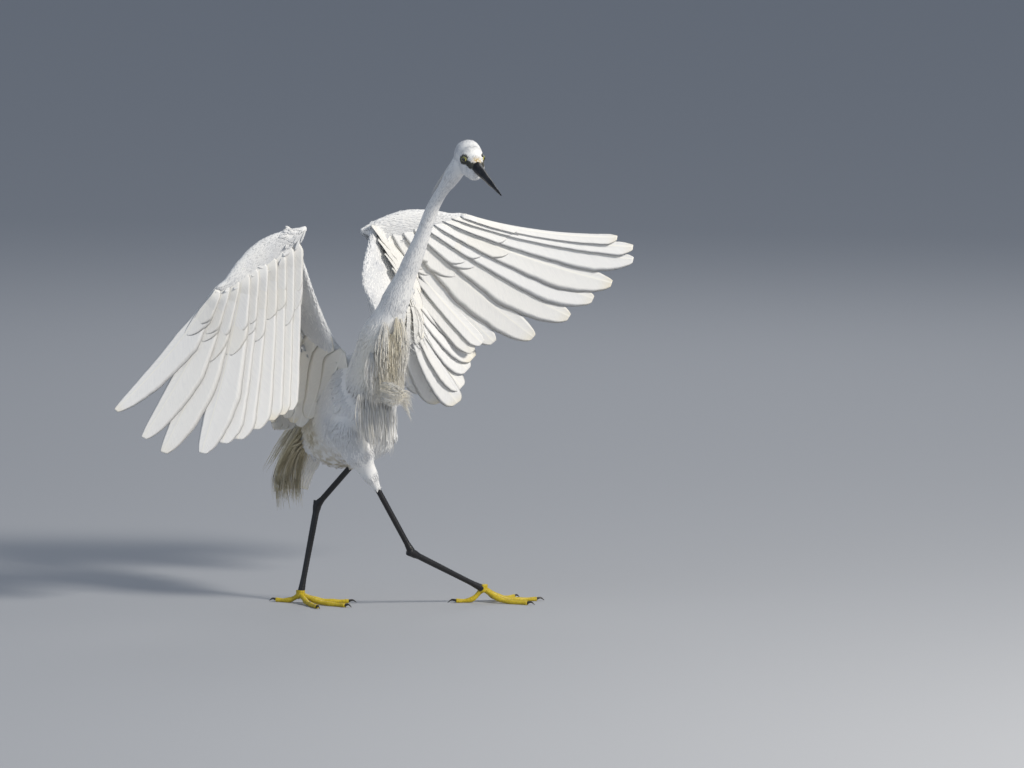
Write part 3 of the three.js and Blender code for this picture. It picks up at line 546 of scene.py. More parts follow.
def blade(shaft, frame_at, leading, trailing, thick, tilt=0.06, room=None, sharp=4, rows=14, roll=None,
          cup=0.8, ridge=0.5):
    """Points of a vane by row and round its edge, and its flat map."""
    s = BLADE_ACROSS
    grid, flat = [], []
    for i in range(rows + 1):
        t = 0.992 * math.sin(i / rows * 1.45) / math.sin(1.45)
        width = min(1, 0.22 + 2.6 * t) * math.sqrt(1 - t**sharp)
        if room is not None:
            width = min(width, room(t) / (leading + trailing))
        if roll is not None:
            width *= 1 - 0.05 * roll.random()
        lateral, dorsal = frame_at(t)
        reach = np.where(s > 0, leading, trailing) * s * width
        half = mix(thick, thick * 0.45, t) / 2 * (1 - 0.72 * np.abs(s))
        half = half + ridge * mix(1, 0.25, t) * (np.abs(s) < 0.05)
        lean = math.tan(tilt(t)) if callable(tilt) else tilt
        lift = reach * lean - cup * s * s * width + BLADE_FACE * half
        grid.append(shaft(t) + np.outer(reach, lateral) + np.outer(lift, dorsal))
        flat.append(np.stack([reach, np.full(len(s), t)], 1))
    return grid, flat


class Sheet:
    """Blades joined in one mesh, each with its own place on the flat map."""

    def __init__(self):
        self.parts, self.maps, self.tints = [], [], []

    def add(self, blade_points, length, tint, worn=0.0):
        grid, flat = blade_points
        place = np.concatenate([*flat, [flat[0].mean(0)], [flat[-1].mean(0)]])
        self.parts.append(closed_mesh(grid))
        self.maps.append((place, length))
        self.tints.append(tint + worn * np.clip((place[:, 1] - 0.93) / 0.07, 0, 1))

    def build(self, name):
        piece = make_object(name, *joined(self.parts))
        columns = math.ceil(math.sqrt(len(self.parts) * 4))
        rows = math.ceil(len(self.parts) / columns)
        vane, bake = [], []
        for k, (place, length) in enumerate(self.maps):
            vane.append(np.stack([place[:, 0] * 0.1, place[:, 1] * length * 0.1], 1))
            wide = np.abs(place[:, 0]).max() * 2 + 1e-6
            across = (k % columns + 0.5 + 0.9 * place[:, 0] / wide) / columns
            bake.append(np.stack([across, (k // columns + 0.03 + 0.94 * place[:, 1]) / rows], 1))
        add_map(piece.data, "OFBake", bake)
        add_map(piece.data, "vane", vane)
        add_values(piece.data, "tint", np.concatenate(self.tints))
        print(name, "blades", len(self.parts), "faces", len(piece.data.polygons))
        vane_pieces.append(piece)


vane_pieces = []

# %% [markdown]
# ### Fans of flight feathers
#
# The ten primaries fan out from the hand and the secondaries hang from the forearm. Each blade is tilted
# about its shaft so that it lies a step clear of the next, as slats do. Coverts follow the same shafts in
# shorter tiers: the longest tier lies on the quills, and each next tier hides the roots of the one before.

# %% Fans
def fan(count, roots, tips, hint, width, bow, camber, sharp, lead, seed, step=1.9, overlap=1.6):
    roll = np.random.default_rng(seed)
    feathers = []
    for i in range(count):
        u = i / (count - 1)
        root, tip = roots(u), tips(u)
        feathers.append(dict(u=u, root=root, tip=mix(tip, root, roll.random() * 0.02)))
    for i, f in enumerate(feathers):
        before, after = feathers[max(0, i - 1)], feathers[min(count - 1, i + 1)]
        along = unit(f["tip"] - f["root"])
        near, far = after["root"] - before["root"], after["tip"] - before["tip"]
        gaps = (after["u"] - before["u"]) * (count - 1)

        def frame_at(t, along=along, near=near, far=far):
            lateral = mix(near, far, t)
            lateral = unit(lateral - along * np.dot(lateral, along))
            dorsal = np.cross(lateral, along)
            return lateral, dorsal if np.dot(dorsal, hint) > 0 else -dorsal

        def between(t, near=near, far=far, frame_at=frame_at, gaps=gaps):
            return abs(np.dot(mix(near, far, t), frame_at(t)[0])) / max(1, gaps)

        lateral, dorsal = frame_at(0.5)
        bend = lateral * bow(f["u"]) + dorsal * camber
        f["frame"] = frame_at
        f["tilt"] = lambda t, between=between: math.atan(min(0.5, step / max(2, between(t))))
        f["room"] = lambda t, between=between: max(5, overlap * between(t))
        f["shaft"] = lambda t, f=f, bend=bend: mix(f["root"], f["tip"], t) + bend * 4 * t * (1 - t)
        f["width"], f["sharp"], f["lead"] = width(f["u"]), sharp(f["u"]), lead(f["u"])
        f["length"] = np.linalg.norm(f["tip"] - f["root"])
    return feathers


def even_fan(count, roots, tips, hint, width, bow, camber, sharp, seed, lead=0.5, **spacing):
    """A fan whose feathers are all of one width and one form."""
    return fan(count, roots, tips, hint, lambda u: width, lambda u: bow, camber, lambda u: sharp,
               lambda u: lead, seed, **spacing)


def hand_feathers(wing):
    inset = unit(wing["primary_tips"][2] - wing["wrist"]) * 9
    return fan(
        10, lambda u: mix(wing["wrist"] + inset, wing["hand_end"] + inset * 0.4, u),
        Line(wing["primary_tips"]).point, wing["dorsal"],
        lambda u: 32 * (0.85 + 0.45 * math.sin(0.9 * math.pi * u)), lambda u: mix(-3, -7, u), 5,
        lambda u: mix(8, 2.6, u), lambda u: mix(0.42, 0.27, u), wing["seed"],
    )


def arm_feathers(wing):
    drop = unit(wing["secondary_tips"][2] - wing["elbow"]) * 4 + wing["dorsal"] * 4
    inner = mix(wing["elbow"], wing_root(wing), 0.55) + drop
    outer = mix(wing["wrist"], wing["elbow"], 0.1) + drop
    return even_fan(
        wing["secondaries"], Line([inner, wing["elbow"] + drop, outer]).point,
        Line(wing["secondary_tips"]).point, wing["arm_dorsal"], 31, -3, 7, 18, wing["seed"] + 5, 0.42,
        step=1.3, overlap=2.8,
    )


def add_flight(sheet, f, tint):
    roll = np.random.default_rng(int(f["length"] * 100))
    lead = f["width"] * f["lead"]
    vane = blade(
        f["shaft"], f["frame"], lead, f["width"] - lead, 0.9, f["tilt"], f["room"], f["sharp"], 26, roll,
    )
    sheet.add(vane, f["length"], tint, 0.9 * roll.random() ** 2)


def add_covert(sheet, f, face, lift, start, reach, share, tint):
    """A shorter feather over a flight feather: above it with face 1, below it with face -1."""
    roll = np.random.default_rng(int(f["length"] * 37 + lift * 11))
    reach *= 1 + 0.4 * (roll.random() - 0.5)

    def along(t):
        return mix(start, reach, t)

    def shaft(t):
        rise = lift * min(1, 0.1 + 2.5 * t) * (1 - 0.85 * t)
        return f["shaft"](along(t)) + f["frame"](along(t))[1] * face * rise

    wide = f["width"] * share
    vane = blade(
        shaft, lambda t: f["frame"](along(t)), wide * (0.36 if f["u"] < 0.95 else 0.16), wide * 0.58, 0.6,
        lambda t: f["tilt"](along(t)), lambda t: 1.1 * f["room"](along(t)), 2.8, 12, roll, ridge=0.2,
    )
    sheet.add(vane, f["length"] * (reach - start), tint)


# Each tier: its height over the quill, its reach as a share of the quill, and its share of the quill's width.
UNDER_TIERS = dict(
    hand=[(1.8, 0.4, 0.95), (3.2, 0.3, 0.95), (4.6, 0.2, 0.95)],
    arm=[(1.8, 0.48, 1.0), (3.2, 0.36, 1.0), (4.6, 0.25, 1.0)],
)
OVER_TIERS = [(1.8, 0.44, 0.95), (3.2, 0.33, 0.95), (4.6, 0.21, 0.95)]

for wing in WINGS:
    for part, feathers in (("hand", hand_feathers(wing)), ("arm", arm_feathers(wing))):
        quills, coverts = Sheet(), Sheet()
        roll = np.random.default_rng(wing["seed"] + 100)
        for f in feathers:
            add_flight(quills, f, 0.1 * roll.random())
            for face, tiers in ((-1, UNDER_TIERS[part]), (1, OVER_TIERS)):
                for lift, reach, share in tiers:
                    add_covert(coverts, f, face, lift, 0.0, reach, share, 0.2 * roll.random())
        quills.build(f"flight_feathers_{wing['name']}_{part}")
        coverts.build(f"coverts_{wing['name']}_{part}")

# %% [markdown]
# ### Alula
#
# Four short stiff feathers sit on the thumb, at the front of the hand.

# %% Alula
for wing in WINGS:
    along, back, dorsal = hand_axes(wing)
    thumb = Sheet()
    for k in range(4):
        root = wing["wrist"] + along * 0.2 + dorsal * (0.5 + k * 1.1) + back * 2
        tip = root + along * (0.74 - k * 0.12) + back * (7 + k * 3)
        vane = blade(lambda t: mix(root, tip, t), lambda t: (-back, dorsal), 5, 8, 0.8, cup=1.0)
        thumb.add(vane, np.linalg.norm(tip - root), 0.1)
    thumb.build(f"alula_{wing['name']}")

# %% [markdown]
# ### Linings
#
# Two rows of soft feathers line the left arm from shoulder to wrist. On the right, the long feathers of the
# armpit hang between the arm and the flank and close the gap there.

# %% Linings
inside = -unit(LEFT_WING["arm_dorsal"]) * 7
shoulder, elbow, wrist = (LEFT_WING[joint] for joint in ("shoulder", "elbow", "wrist"))
bone = Line([mix(elbow, shoulder, 0.45), elbow, mix(elbow, wrist, 0.5), wrist])
far_tips = Line(LEFT_WING["secondary_tips"])
lining = Sheet()
for row, (back, reach) in enumerate(((0.0, 0.42), (-0.05, 0.28))):
    for f in even_fan(
        9, lambda u: mix(bone.point(0.97 * u), far_tips.point(u), back) + inside * (1 + 0.15 * row),
        lambda u: mix(bone.point(0.97 * u), far_tips.point(u), reach) + inside * 0.6,
        LEFT_WING["arm_dorsal"], 30, 2, -2, 3, 95 + row, step=0.4, overlap=2.6,
    ):
        add_flight(lining, f, 0.2)
lining.build("wing_lining_left")

near_side = point(0, -9, 2)
shoulder, elbow = RIGHT_WING["shoulder"], RIGHT_WING["elbow"]
armpit = Sheet()
for f in even_fan(
    5, Line([elbow + near_side, mix(elbow, shoulder, 0.5) + near_side, shoulder + near_side]).point,
    Line([point(-97, 22, 206), point(-84, 18, 196), point(-66, 6, 226)]).point, point(0, 1, 0), 40, 2, 4, 3,
    91, step=0.3, overlap=2.8,
):
    add_flight(armpit, f, 0.35)
armpit.build("axillaries_right")

# %% [markdown]
# ### Tail
#
# The tail is short and square: twelve feathers in a shallow fan, under the long plumes of the back.

# %% Tail
TAIL_HALF_SPREAD = math.radians(11)
tail_start = body_point(-78, 0, 4)
tail_tips, tail_roots = [], []
for way in (-1, -0.5, 0, 0.5, 1):
    turn = way * TAIL_HALF_SPREAD
    along = -BODY_AHEAD * math.cos(turn) + BODY_RIGHT * math.sin(turn)
    tail_tips.append(tail_start + along * (22 + 70 * (1 - 0.05 * abs(way))) - BODY_UP * (24 + 4 * way * way))
    tail_roots.append(tail_start + BODY_RIGHT * way * 11)
tail_sheet = Sheet()
tail_fan = even_fan(12, Line(tail_roots).point, Line(tail_tips).point, BODY_UP, 20, 0, 3, 7, 71, step=1.2)
for f in tail_fan:
    add_flight(tail_sheet, f, 0.15)
for lift, reach in ((2.4, 0.55), (4.6, 0.4)):
    for f in tail_fan:
        for face in (1, -1):
            add_covert(tail_sheet, f, face, lift, -0.05, reach, 0.95, 0.2)
tail_sheet.build("tail_feathers")

# %% [markdown]
# ## The coat
#
# A small body feather is one soft petal that lies along the body, a little arched, with its tip pressed down.
# Thousands of them cover the skin. The petal is modelled in a few variants, and Geometry Nodes scatter them
# over the skin: the skin's "way" turns each one, its "tuft" sets the length, and seeded values vary both.

# %% Tuft variants
TUFT_ROWS = ((0, 0.4), (0.3, 0.9), (0.6, 1), (0.85, 0.72), (1, 0.08))
TUFT_SECTION = ((1, -0.3), (0.5, 0.05), (-0.5, 0.05), (-1, -0.3), (0, -0.28))
PATCH = 0.003


def tuft_mesh(name, seed, lift, hug, wide):
    """A tuft one unit long, from its root at the origin along +Y, with +Z away from the skin."""
    roll = np.random.default_rng(seed)
    turn = roll.normal() * 0.05
    length = 1 - 0.2 * abs(turn) - 0.12 * roll.random()
    width = wide * roll.uniform(0.8, 1.15)
    points, faces, count = [], [], len(TUFT_SECTION)
    for t, share in TUFT_ROWS:
        rise = lift * math.sin(math.pi * t) - hug * t * t - 0.04 * (1 - t)
        for x, z in TUFT_SECTION:
            points.append((turn * t * length + x * width * share, t * length, rise + z * width * share))
    last = len(points) - count
    for a in range(0, last, count):
        for j in range(count):
            b, c = a + j, a + (j + 1) % count
            faces.append((b, c, c + count, b + count))
    faces += [tuple(range(count - 1, -1, -1)), tuple(range(last, last + count))]
    mesh = smooth_mesh(name, points, faces)
    add_values(mesh, "strand", [(x, y) for x, y, _ in points], "FLOAT2")
    return mesh


def tuft_collection(name, *shape):
    kit = bpy.data.collections.new(name)
    for seed in range(4):
        title = f"{name}_{seed}"
        kit.objects.link(bpy.data.objects.new(title, tuft_mesh(title, seed + 7, *shape)))
    return kit


soft_tufts = tuft_collection("soft_tuft", 0.03, 0.08, 0.15)
fine_tufts = tuft_collection("fine_tuft", 0.02, 0.06, 0.14)
lining_tufts = tuft_collection("lining_tuft", 0.03, 0.03, 0.2)

# %% [markdown]
# ### The tree that lays the tufts
#
# Points are spread by Poisson disk, so no two roots coincide. Each tuft's place on the bake map is a tiny
# patch at its root's place on the skin's own unwrap, so it takes the colour of its root.

# %% Coat tree
def add_node(tree, kind, inputs=None, **settings):
    """A node with its settings made, and each input given a value or joined to another node's output."""
    made = tree.nodes.new(kind)
    for key, value in settings.items():
        setattr(made, key, value)
    for key, value in (inputs or {}).items():
        if isinstance(value, bpy.types.NodeSocket):
            tree.links.new(value, made.inputs[key])
        else:
            made.inputs[key].default_value = value
    return made


def maths(tree, way, a, b=0.0):
    return add_node(tree, "ShaderNodeMath", {0: a, 1: b}, operation=way).outputs[0]


def coat_tree():
    tree = bpy.data.node_groups.new("lay tufts", "GeometryNodeTree")
    tree.is_modifier = True
    for title, kind in (
        ("Geometry", "Geometry"), ("Tufts", "Collection"), ("Spacing", "Float"), ("Where", "Float"),
        ("Stand", "Float"), ("Stray", "Float"), ("Seed", "Int"), ("Finish", "Material"),
    ):
        tree.interface.new_socket(title, in_out="INPUT", socket_type="NodeSocket" + kind)
    tree.interface.new_socket("Geometry", in_out="OUTPUT", socket_type="NodeSocketGeometry")
    given = add_node(tree, "NodeGroupInput").outputs

    def add(kind, inputs, **settings):
        return add_node(tree, kind, inputs, **settings).outputs

    def named(title, kind):
        return add("GeometryNodeInputNamedAttribute", {"Name": title}, data_type=kind)["Attribute"]

    def chance(low, high, salt):
        values = {"Min": low, "Max": high, "Seed": maths(tree, "ADD", given["Seed"], salt)}
        return add("FunctionNodeRandomValue", values, data_type="FLOAT")["Value"]

    roots = add("GeometryNodeDistributePointsOnFaces", {
        "Mesh": given["Geometry"], "Distance Min": given["Spacing"], "Density Max": 4e6,
        "Density Factor": given["Where"], "Seed": given["Seed"],
    }, distribute_method="POISSON")
    lie = add("FunctionNodeAxesToRotation", {
        "Primary Axis": roots["Normal"], "Secondary Axis": named("way", "FLOAT_VECTOR"),
    }, primary_axis="Z", secondary_axis="Y")[0]
    angles = add("ShaderNodeCombineXYZ", {
        "X": maths(tree, "MULTIPLY", given["Stand"], chance(0.5, 1.5, 3)), "Y": chance(-0.2, 0.2, 7),
        "Z": maths(tree, "MULTIPLY", given["Stray"], chance(-1, 1, 5)),
    })[0]
    small = add("FunctionNodeEulerToRotation", {0: angles})[0]
    length = maths(tree, "MULTIPLY", named("tuft", "FLOAT"), chance(0.75, 1.25, 9))
    kit = add("GeometryNodeCollectionInfo", {
        "Collection": given["Tufts"], "Separate Children": True, "Reset Children": True,
    })[0]
    laid = add("GeometryNodeInstanceOnPoints", {
        "Points": roots["Points"], "Instance": kit, "Pick Instance": True,
        "Instance Index": add("FunctionNodeRandomValue", {"Min": 0, "Max": 3}, data_type="INT")["Value"],
        "Rotation": add("FunctionNodeRotateRotation", {0: lie, 1: small}, rotation_space="LOCAL")[0],
        "Scale": length,
    })[0]
    real = add("GeometryNodeRealizeInstances", {0: laid})[0]
    strand, skin_map = named("strand", "FLOAT_VECTOR"), named("SkinMap", "FLOAT_VECTOR")
    patch = add("ShaderNodeVectorMath", {0: strand, "Scale": PATCH}, operation="SCALE")[0]
    spot = add("ShaderNodeVectorMath", {0: skin_map, 1: patch}, operation="ADD")[0]
    mapped = add("GeometryNodeStoreNamedAttribute", {
        "Geometry": real, "Name": "OFBake", "Value": spot,
    }, data_type="FLOAT2", domain="CORNER")[0]
    painted = add("GeometryNodeSetMaterial", {"Geometry": mapped, "Material": given["Finish"]})[0]
    add("NodeGroupOutput", {0: painted})
    return tree


lay_tufts = coat_tree()
print("coat tree nodes", len(lay_tufts.nodes))

# %% [markdown]
# ## Finishes
#
# An egret is white, but never flat white: the barbs make fine streaks, the long plumes are creamy, the rump's
# plumes go brown with painted shade, and an olive-brown patch marks the vent. The vane finish draws its barbs
# from the blade's own map. The coat's tint is painted from its place on the bird, so that skin and coat
# match.

# %% Finish helpers
def opaque(value):
    return (*value, 1) if isinstance(value, tuple) else value


class Finish:
    """A material whose colour and relief are made from a few kinds of node."""

    def __init__(self, name, colour, roughness, **sockets):
        self.material = bpy.data.materials.new(name)
        self.material.use_nodes = True
        self.material.diffuse_color = opaque(colour)
        self.tree = self.material.node_tree
        self.surface = self.tree.nodes["Principled BSDF"].inputs
        for title, value in {"Base_Color": opaque(colour), "Roughness": roughness, **sockets}.items():
            self.surface[title.replace("_", " ")].default_value = value

    def add(self, kind, inputs=None, **settings):
        return add_node(self.tree, "ShaderNode" + kind, inputs, **settings).outputs

    def place(self):
        return self.add("TexCoord")["Object"]

    def flat(self, name):
        return self.add("UVMap", uv_map=name)[0]

    def value(self, name):
        return self.add("Attribute", attribute_name=name)["Fac"]

    def noise(self, place, scale, detail=2.0):
        return self.add("TexNoise", {"Vector": place, "Scale": scale, "Detail": detail})["Fac"]

    def cells(self, place, scale):
        return self.add("TexVoronoi", {"Vector": place, "Scale": scale})["Distance"]

    def maths(self, way, a, b=0.0):
        return maths(self.tree, way, a, b)

    def vector(self, way, a, b, output=0):
        return self.add("VectorMath", {0: a, 1: b}, operation=way)[output]

    def ramp(self, value, *stops):
        made = add_node(self.tree, "ShaderNodeValToRGB", {"Fac": value})
        for mark, (place, colour) in zip(made.color_ramp.elements, stops[:2]):
            mark.position = place
        for place, _ in stops[2:]:
            made.color_ramp.elements.new(place)
        for mark, (_, colour) in zip(made.color_ramp.elements, stops):
            mark.color = opaque(colour)
        return made.outputs["Color"]

    def blend(self, amount, a, b, way="MIX"):
        return self.add("Mix", {0: amount, 6: opaque(a), 7: opaque(b)}, data_type="RGBA", blend_type=way)[2]

    def paint(self, colour):
        self.tree.links.new(colour, self.surface["Base Color"])

    def relief(self, height, distance, strength=1.0):
        made = self.add("Bump", {"Height": height, "Distance": distance, "Strength": strength})
        self.tree.links.new(made[0], self.surface["Normal"])

    def near(self, place, centre, radius):
        """1 at a spot of the bird, falling to 0 at the radius, in metres."""
        away = self.vector("DISTANCE", place, tuple(metres(centre)), "Value")
        share = self.add("Math", {0: away, 1: radius}, operation="DIVIDE", use_clamp=True)[0]
        return self.maths("SUBTRACT", 1.0, share)


# %% Plumage finishes
BLACK, FULL = (0, 0, 0), (1, 1, 1)
WHITE, BRIGHT, SHADE = (0.87, 0.865, 0.85), (0.9, 0.9, 0.89), (0.8, 0.805, 0.81)
CREAM, FLANK_CREAM, DULL_CREAM = (0.84, 0.77, 0.6), (0.83, 0.72, 0.47), (0.72, 0.63, 0.42)
# The second colour here is a brown of painted shade, for the rump plumes that hang in the bird's shade.
VENT_OLIVE, PAINTED_SHADE_BROWN, FRINGE, SHAFT = (0.42, 0.33, 0.16), (0.42, 0.37, 0.24), (0.5, 0.33, 0.07), (0.93, 0.91, 0.84)


def coat_colour(f, place):
    """White plumage with soft blotches, a creamy breast, an olive-brown patch at the vent and a fringe at the
    bill's base.
    """
    colour = f.ramp(f.noise(place, 60.0, 3.0), (0.3, SHADE), (0.5, WHITE), (1, BRIGHT))
    breast = f.maths("MULTIPLY", f.near(place, point(8, -72, 270), 0.06), 0.8)
    colour = f.blend(breast, colour, CREAM)
    flank = f.near(place, body_point(-38, 38, 10), 0.05)
    colour = f.blend(f.maths("MULTIPLY", flank, 0.8), colour, FLANK_CREAM)
    speckle = f.ramp(f.noise(place, 900.0), (0.42, (0.2, 0.2, 0.2)), (0.58, (1.6, 1.6, 1.6)))
    fringe = f.maths("MULTIPLY", f.near(place, head_point(-2, 0, 7.5), 0.008), speckle)
    colour = f.blend(fringe, colour, FRINGE)
    # An olive-brown patch, broken up by noise, at the vent and on the right flank.
    vent = f.near(place, body_point(-40, 6, -50), 0.055)
    vent = f.maths("ADD", vent, f.near(place, body_point(-30, 32, -8), 0.02))
    olive_patch = f.maths("MULTIPLY", vent, f.ramp(f.noise(place, 140.0), (0.4, BLACK), (0.6, FULL)))
    return f.blend(f.maths("MULTIPLY", olive_patch, 0.9), colour, VENT_OLIVE)


coat_finish = f = Finish("white_down", WHITE, 0.8, Sheen_Weight=0.15, Sheen_Roughness=0.6)
patch = f.flat("OFBake")
barbs = f.noise(f.vector("MULTIPLY", patch, (12000, 500, 0)), 1.0, 1.0)
own_tone = f.ramp(f.noise(patch, 260.0, 0.0), (0.35, (0.8, 0.81, 0.83)), (0.6, FULL))
colour = f.blend(1.0, coat_colour(f, f.place()), own_tone, "MULTIPLY")
f.paint(f.blend(1.0, colour, f.ramp(barbs, (0.3, (0.92, 0.92, 0.93)), (0.6, FULL)), "MULTIPLY"))
f.relief(barbs, 0.00012, 0.6)

skin_finish = f = Finish("feathered_skin", WHITE, 0.85)
place, lore = f.place(), f.value("bare")
grain = f.cells(place, 900.0)
bare_skin = f.ramp(grain, (0, (0.035, 0.036, 0.034)), (1, (0.075, 0.075, 0.06)))
f.paint(f.blend(lore, coat_colour(f, place), bare_skin))
f.relief(f.maths("MULTIPLY", grain, lore), 0.0004)

vane_finish = f = Finish("vane_white", WHITE, 0.62, Sheen_Weight=0.1)
flat = f.add("SeparateXYZ", {0: f.flat("vane")})
off_shaft = f.maths("ABSOLUTE", flat[0])
along_barb = f.maths("SUBTRACT", flat[1], f.maths("MULTIPLY", off_shaft, 1.15))
barb_place = {0: f.maths("MULTIPLY", along_barb, 16.0), 1: f.maths("MULTIPLY", flat[0], 0.8)}
barbs = f.noise(f.add("CombineXYZ", barb_place)[0], 1.0)
colour = f.blend(f.value("tint"), f.ramp(barbs, (0.3, SHADE), (0.55, WHITE), (0.8, BRIGHT)), CREAM)
shaft_mark = f.maths("MULTIPLY", f.ramp(off_shaft, (0.03, FULL), (0.09, BLACK)), 0.85)
f.paint(f.blend(shaft_mark, colour, SHAFT))
f.relief(barbs, 0.00025, 0.8)

plume_finish = f = Finish("cream_plume", CREAM, 0.7, Sheen_Weight=0.2)
# Tint 0 is white, 0.5 cream and 0.8 dull cream. The brown towards 1 is painted shade, and only the rump
# plumes reach it.
f.paint(f.ramp(f.value("tint"), (0, WHITE), (0.5, CREAM), (0.8, DULL_CREAM), (1, PAINTED_SHADE_BROWN)))

# %% [markdown]
# ### Where the coat is thin or missing
#
# No feathers grow on the lores, between the eye and the bill, nor on the lids. Those points of the skin are
# marked "bare". The whole skin is then unwrapped, so that every feather can take its place on a map from it.

# %% Skin maps
off = np.asarray(skin_points) * 1000 - SHIFT - BILL_BASE
ahead, right, up = off @ HEAD_AHEAD, off @ HEAD_RIGHT, off @ HEAD_UP
beside_eye = np.hypot(ahead + EYE_BACK, up - EYE_UP)
to_eye = np.clip(-ahead / EYE_BACK, 0, 1)
in_lore_height = np.abs(up - mix(2.0, EYE_UP - 0.5, to_eye)) < mix(3.6, 2.4, to_eye)
on_lore = (ahead > -EYE_BACK) & (ahead < 12) & in_lore_height & (np.abs(right) > 3.5)
on_head = (ahead > -HEAD_LENGTH) & (ahead < 14) & (np.abs(right) < 22) & (np.abs(up) < 24)
bare = (on_head & (on_lore | (beside_eye < EYE_RADIUS + 1.3))).astype(float)
add_values(skin.data, "bare", bare)

bpy.context.view_layer.objects.active = skin
skin.select_set(True)
bpy.ops.object.mode_set(mode="EDIT")
bpy.ops.mesh.select_all(action="SELECT")
bpy.ops.uv.smart_project(angle_limit=math.radians(66), island_margin=0.004)
bpy.ops.object.mode_set(mode="OBJECT")
skin.data.uv_layers[0].name = "SkinMap"
print("bare points", int(bare.sum()))

# %% [markdown]
# ### Laying the coat
#
# Each region is laid as a piece of its own, so that none grows too heavy. A region takes the skin points that
# belong most to its parts of the bird. The numbers are the spacing of the roots in metres, how far the
# feathers stand off the skin and how far they stray from its direction, both in radians.

# %% Lay the coat
split = metres([body_point(0, 0, 0)])[0]
ahead_of_split = (skin_points - split) @ BODY_AHEAD > 0
on_right = (skin_points - split) @ BODY_RIGHT > 0
anywhere = np.ones(len(skin_points))
WING = ["arm", "hand"]
regions = {
    "coat_head": (["head"], fine_tufts, 0.00105, 0.05, 0.15, anywhere),
    "coat_neck": (["neck"], fine_tufts, 0.002, 0.06, 0.14, anywhere),
    "coat_body_front": (["torso"], soft_tufts, 0.0019, 0.03, 0.18, ahead_of_split),
    "coat_body_rear": (["torso"], soft_tufts, 0.002, 0.03, 0.18, ~ahead_of_split),
    "coat_thighs": (["thigh"], fine_tufts, 0.0018, 0.03, 0.15, anywhere),
    "coat_wing_right": (WING, lining_tufts, 0.0022, 0.02, 0.12, on_right),
    "coat_wing_left": (WING, lining_tufts, 0.0022, 0.02, 0.12, ~on_right),
}
sockets = {s.name: s.identifier for s in lay_tufts.interface.items_tree if s.in_out == "INPUT"}


def lay_coat(title, seed, groups, kit, spacing, stand, stray, side):
    share = skin_part[:, [PARTS.index(g) for g in groups]].sum(1)
    where = (share >= skin_part.max(1) - 1e-6) * (1 - bare) * side
    piece = show(title, skin.data.copy())
    add_values(piece.data, "where", where)
    modifier = piece.modifiers.new("lay tufts", "NODES")
    modifier.node_group = lay_tufts
    for key, value in dict(
        Tufts=kit, Spacing=spacing, Stand=stand, Stray=stray, Seed=seed, Finish=coat_finish.material,
    ).items():
        modifier[sockets[key]] = value
    modifier[sockets["Where"] + "_use_attribute"] = True
    modifier[sockets["Where"] + "_attribute_name"] = "where"
    laid = piece.evaluated_get(bpy.context.evaluated_depsgraph_get())
    mesh = bpy.data.meshes.new_from_object(laid)
    piece.modifiers.clear()
    piece.data = mesh
    for extra in {a.name for a in mesh.attributes} & {"SkinMap", "strand", "where", "way", "tuft", "bare"}:
        mesh.attributes.remove(mesh.attributes[extra])
    print(title, "faces", len(mesh.polygons))
    return piece


coat_pieces = [lay_coat(title, seed + 3, *values) for seed, (title, values) in enumerate(regions.items())]

# %% [markdown]
# ## Long plumes
#
# In its finery an egret carries loose plumes on its back and breast, whose barbs don't hook together. Each
# plume is therefore a bundle of fine strands along one line. It opens from its root, and the more "close" it
# is, the more it gathers to a point again. The strands are three-sided, which is enough at half a millimetre.

# %% Strands
class Strands:
    def __init__(self):
        self.parts, self.tints, self.roots = [], [], []

    def add(self, points, thick, tint, rows=8):
        curve = Line(points)
        rings = []
        for t in np.linspace(0, 1, rows + 1):
            along = curve.tangent(t)
            side = unit(np.cross(along, UP + 0.01 * HEADING))
            half = thick * min(1, 0.5 + 2 * t) * math.sqrt(max(0.02, 1 - t**2.2))
            rings.append(oval(curve.at(t), side, np.cross(side, along), half, half * 0.7, 3))
        self.parts.append(closed_mesh(rings))
        self.tints.append(np.full(len(self.parts[-1][0]), tint))
        self.roots.append(points[0])

    def bundle(self, line_points, count, loose, thick, tint, side, up, close=0.25):
        """Strands along one line, each stopping a little short of its end."""
        curve = Line(line_points)
        for k in range(count):
            way, rise, stop = roll.uniform(-1, 1), roll.uniform(-1, 1), roll.uniform(0.7, 1.0)
            points = []
            for t in (0, 0.25, 0.5, 0.75, 1):
                spindle = mix(math.sin(0.5 * math.pi * t), math.sin(math.pi * t), close)
                open_out = loose * (0.2 + 0.8 * spindle) * (1 + 0.2 * math.sin(5 * t + way * 7))
                points.append(curve.at(t * stop) + side * way * open_out + up * rise * open_out * 0.4)
            self.add(points, thick * roll.uniform(0.7, 1.2), tint + roll.uniform(-0.12, 0.12))

    def build(self, name):
        piece = make_object(name, *joined(self.parts))
        add_values(piece.data, "tint", np.clip(np.concatenate(self.tints), 0, 1))
        patches = []
        for root, (points, _) in zip(metres(self.roots), self.parts):
            order = np.arange(len(points))
            patches.append(skin_spot(root) + np.stack([order % 3 / 3, order / len(points)], 1) * PATCH)
        add_map(piece.data, "OFBake", patches)
        print(name, "strands", len(self.parts), "faces", len(piece.data.polygons))
        plume_pieces.append(piece)


skin_uv = np.empty(len(skin.data.loops) * 2)
skin.data.uv_layers["SkinMap"].data.foreach_get("uv", skin_uv)
skin_uv = skin_uv.reshape(-1, 2)


def skin_spot(place):
    """The skin map's place nearest to a root."""
    _, _, _, face = skin.closest_point_on_mesh(tuple(place))
    return skin_uv[skin.data.polygons[face].loop_start]


def seen_at(across, up, y):
    """A point given by its place in the photo's plane, in millimetres from its zero, and by its depth y."""
    return point(across, y, (up - y * math.sin(ELEVATION)) / math.cos(ELEVATION))
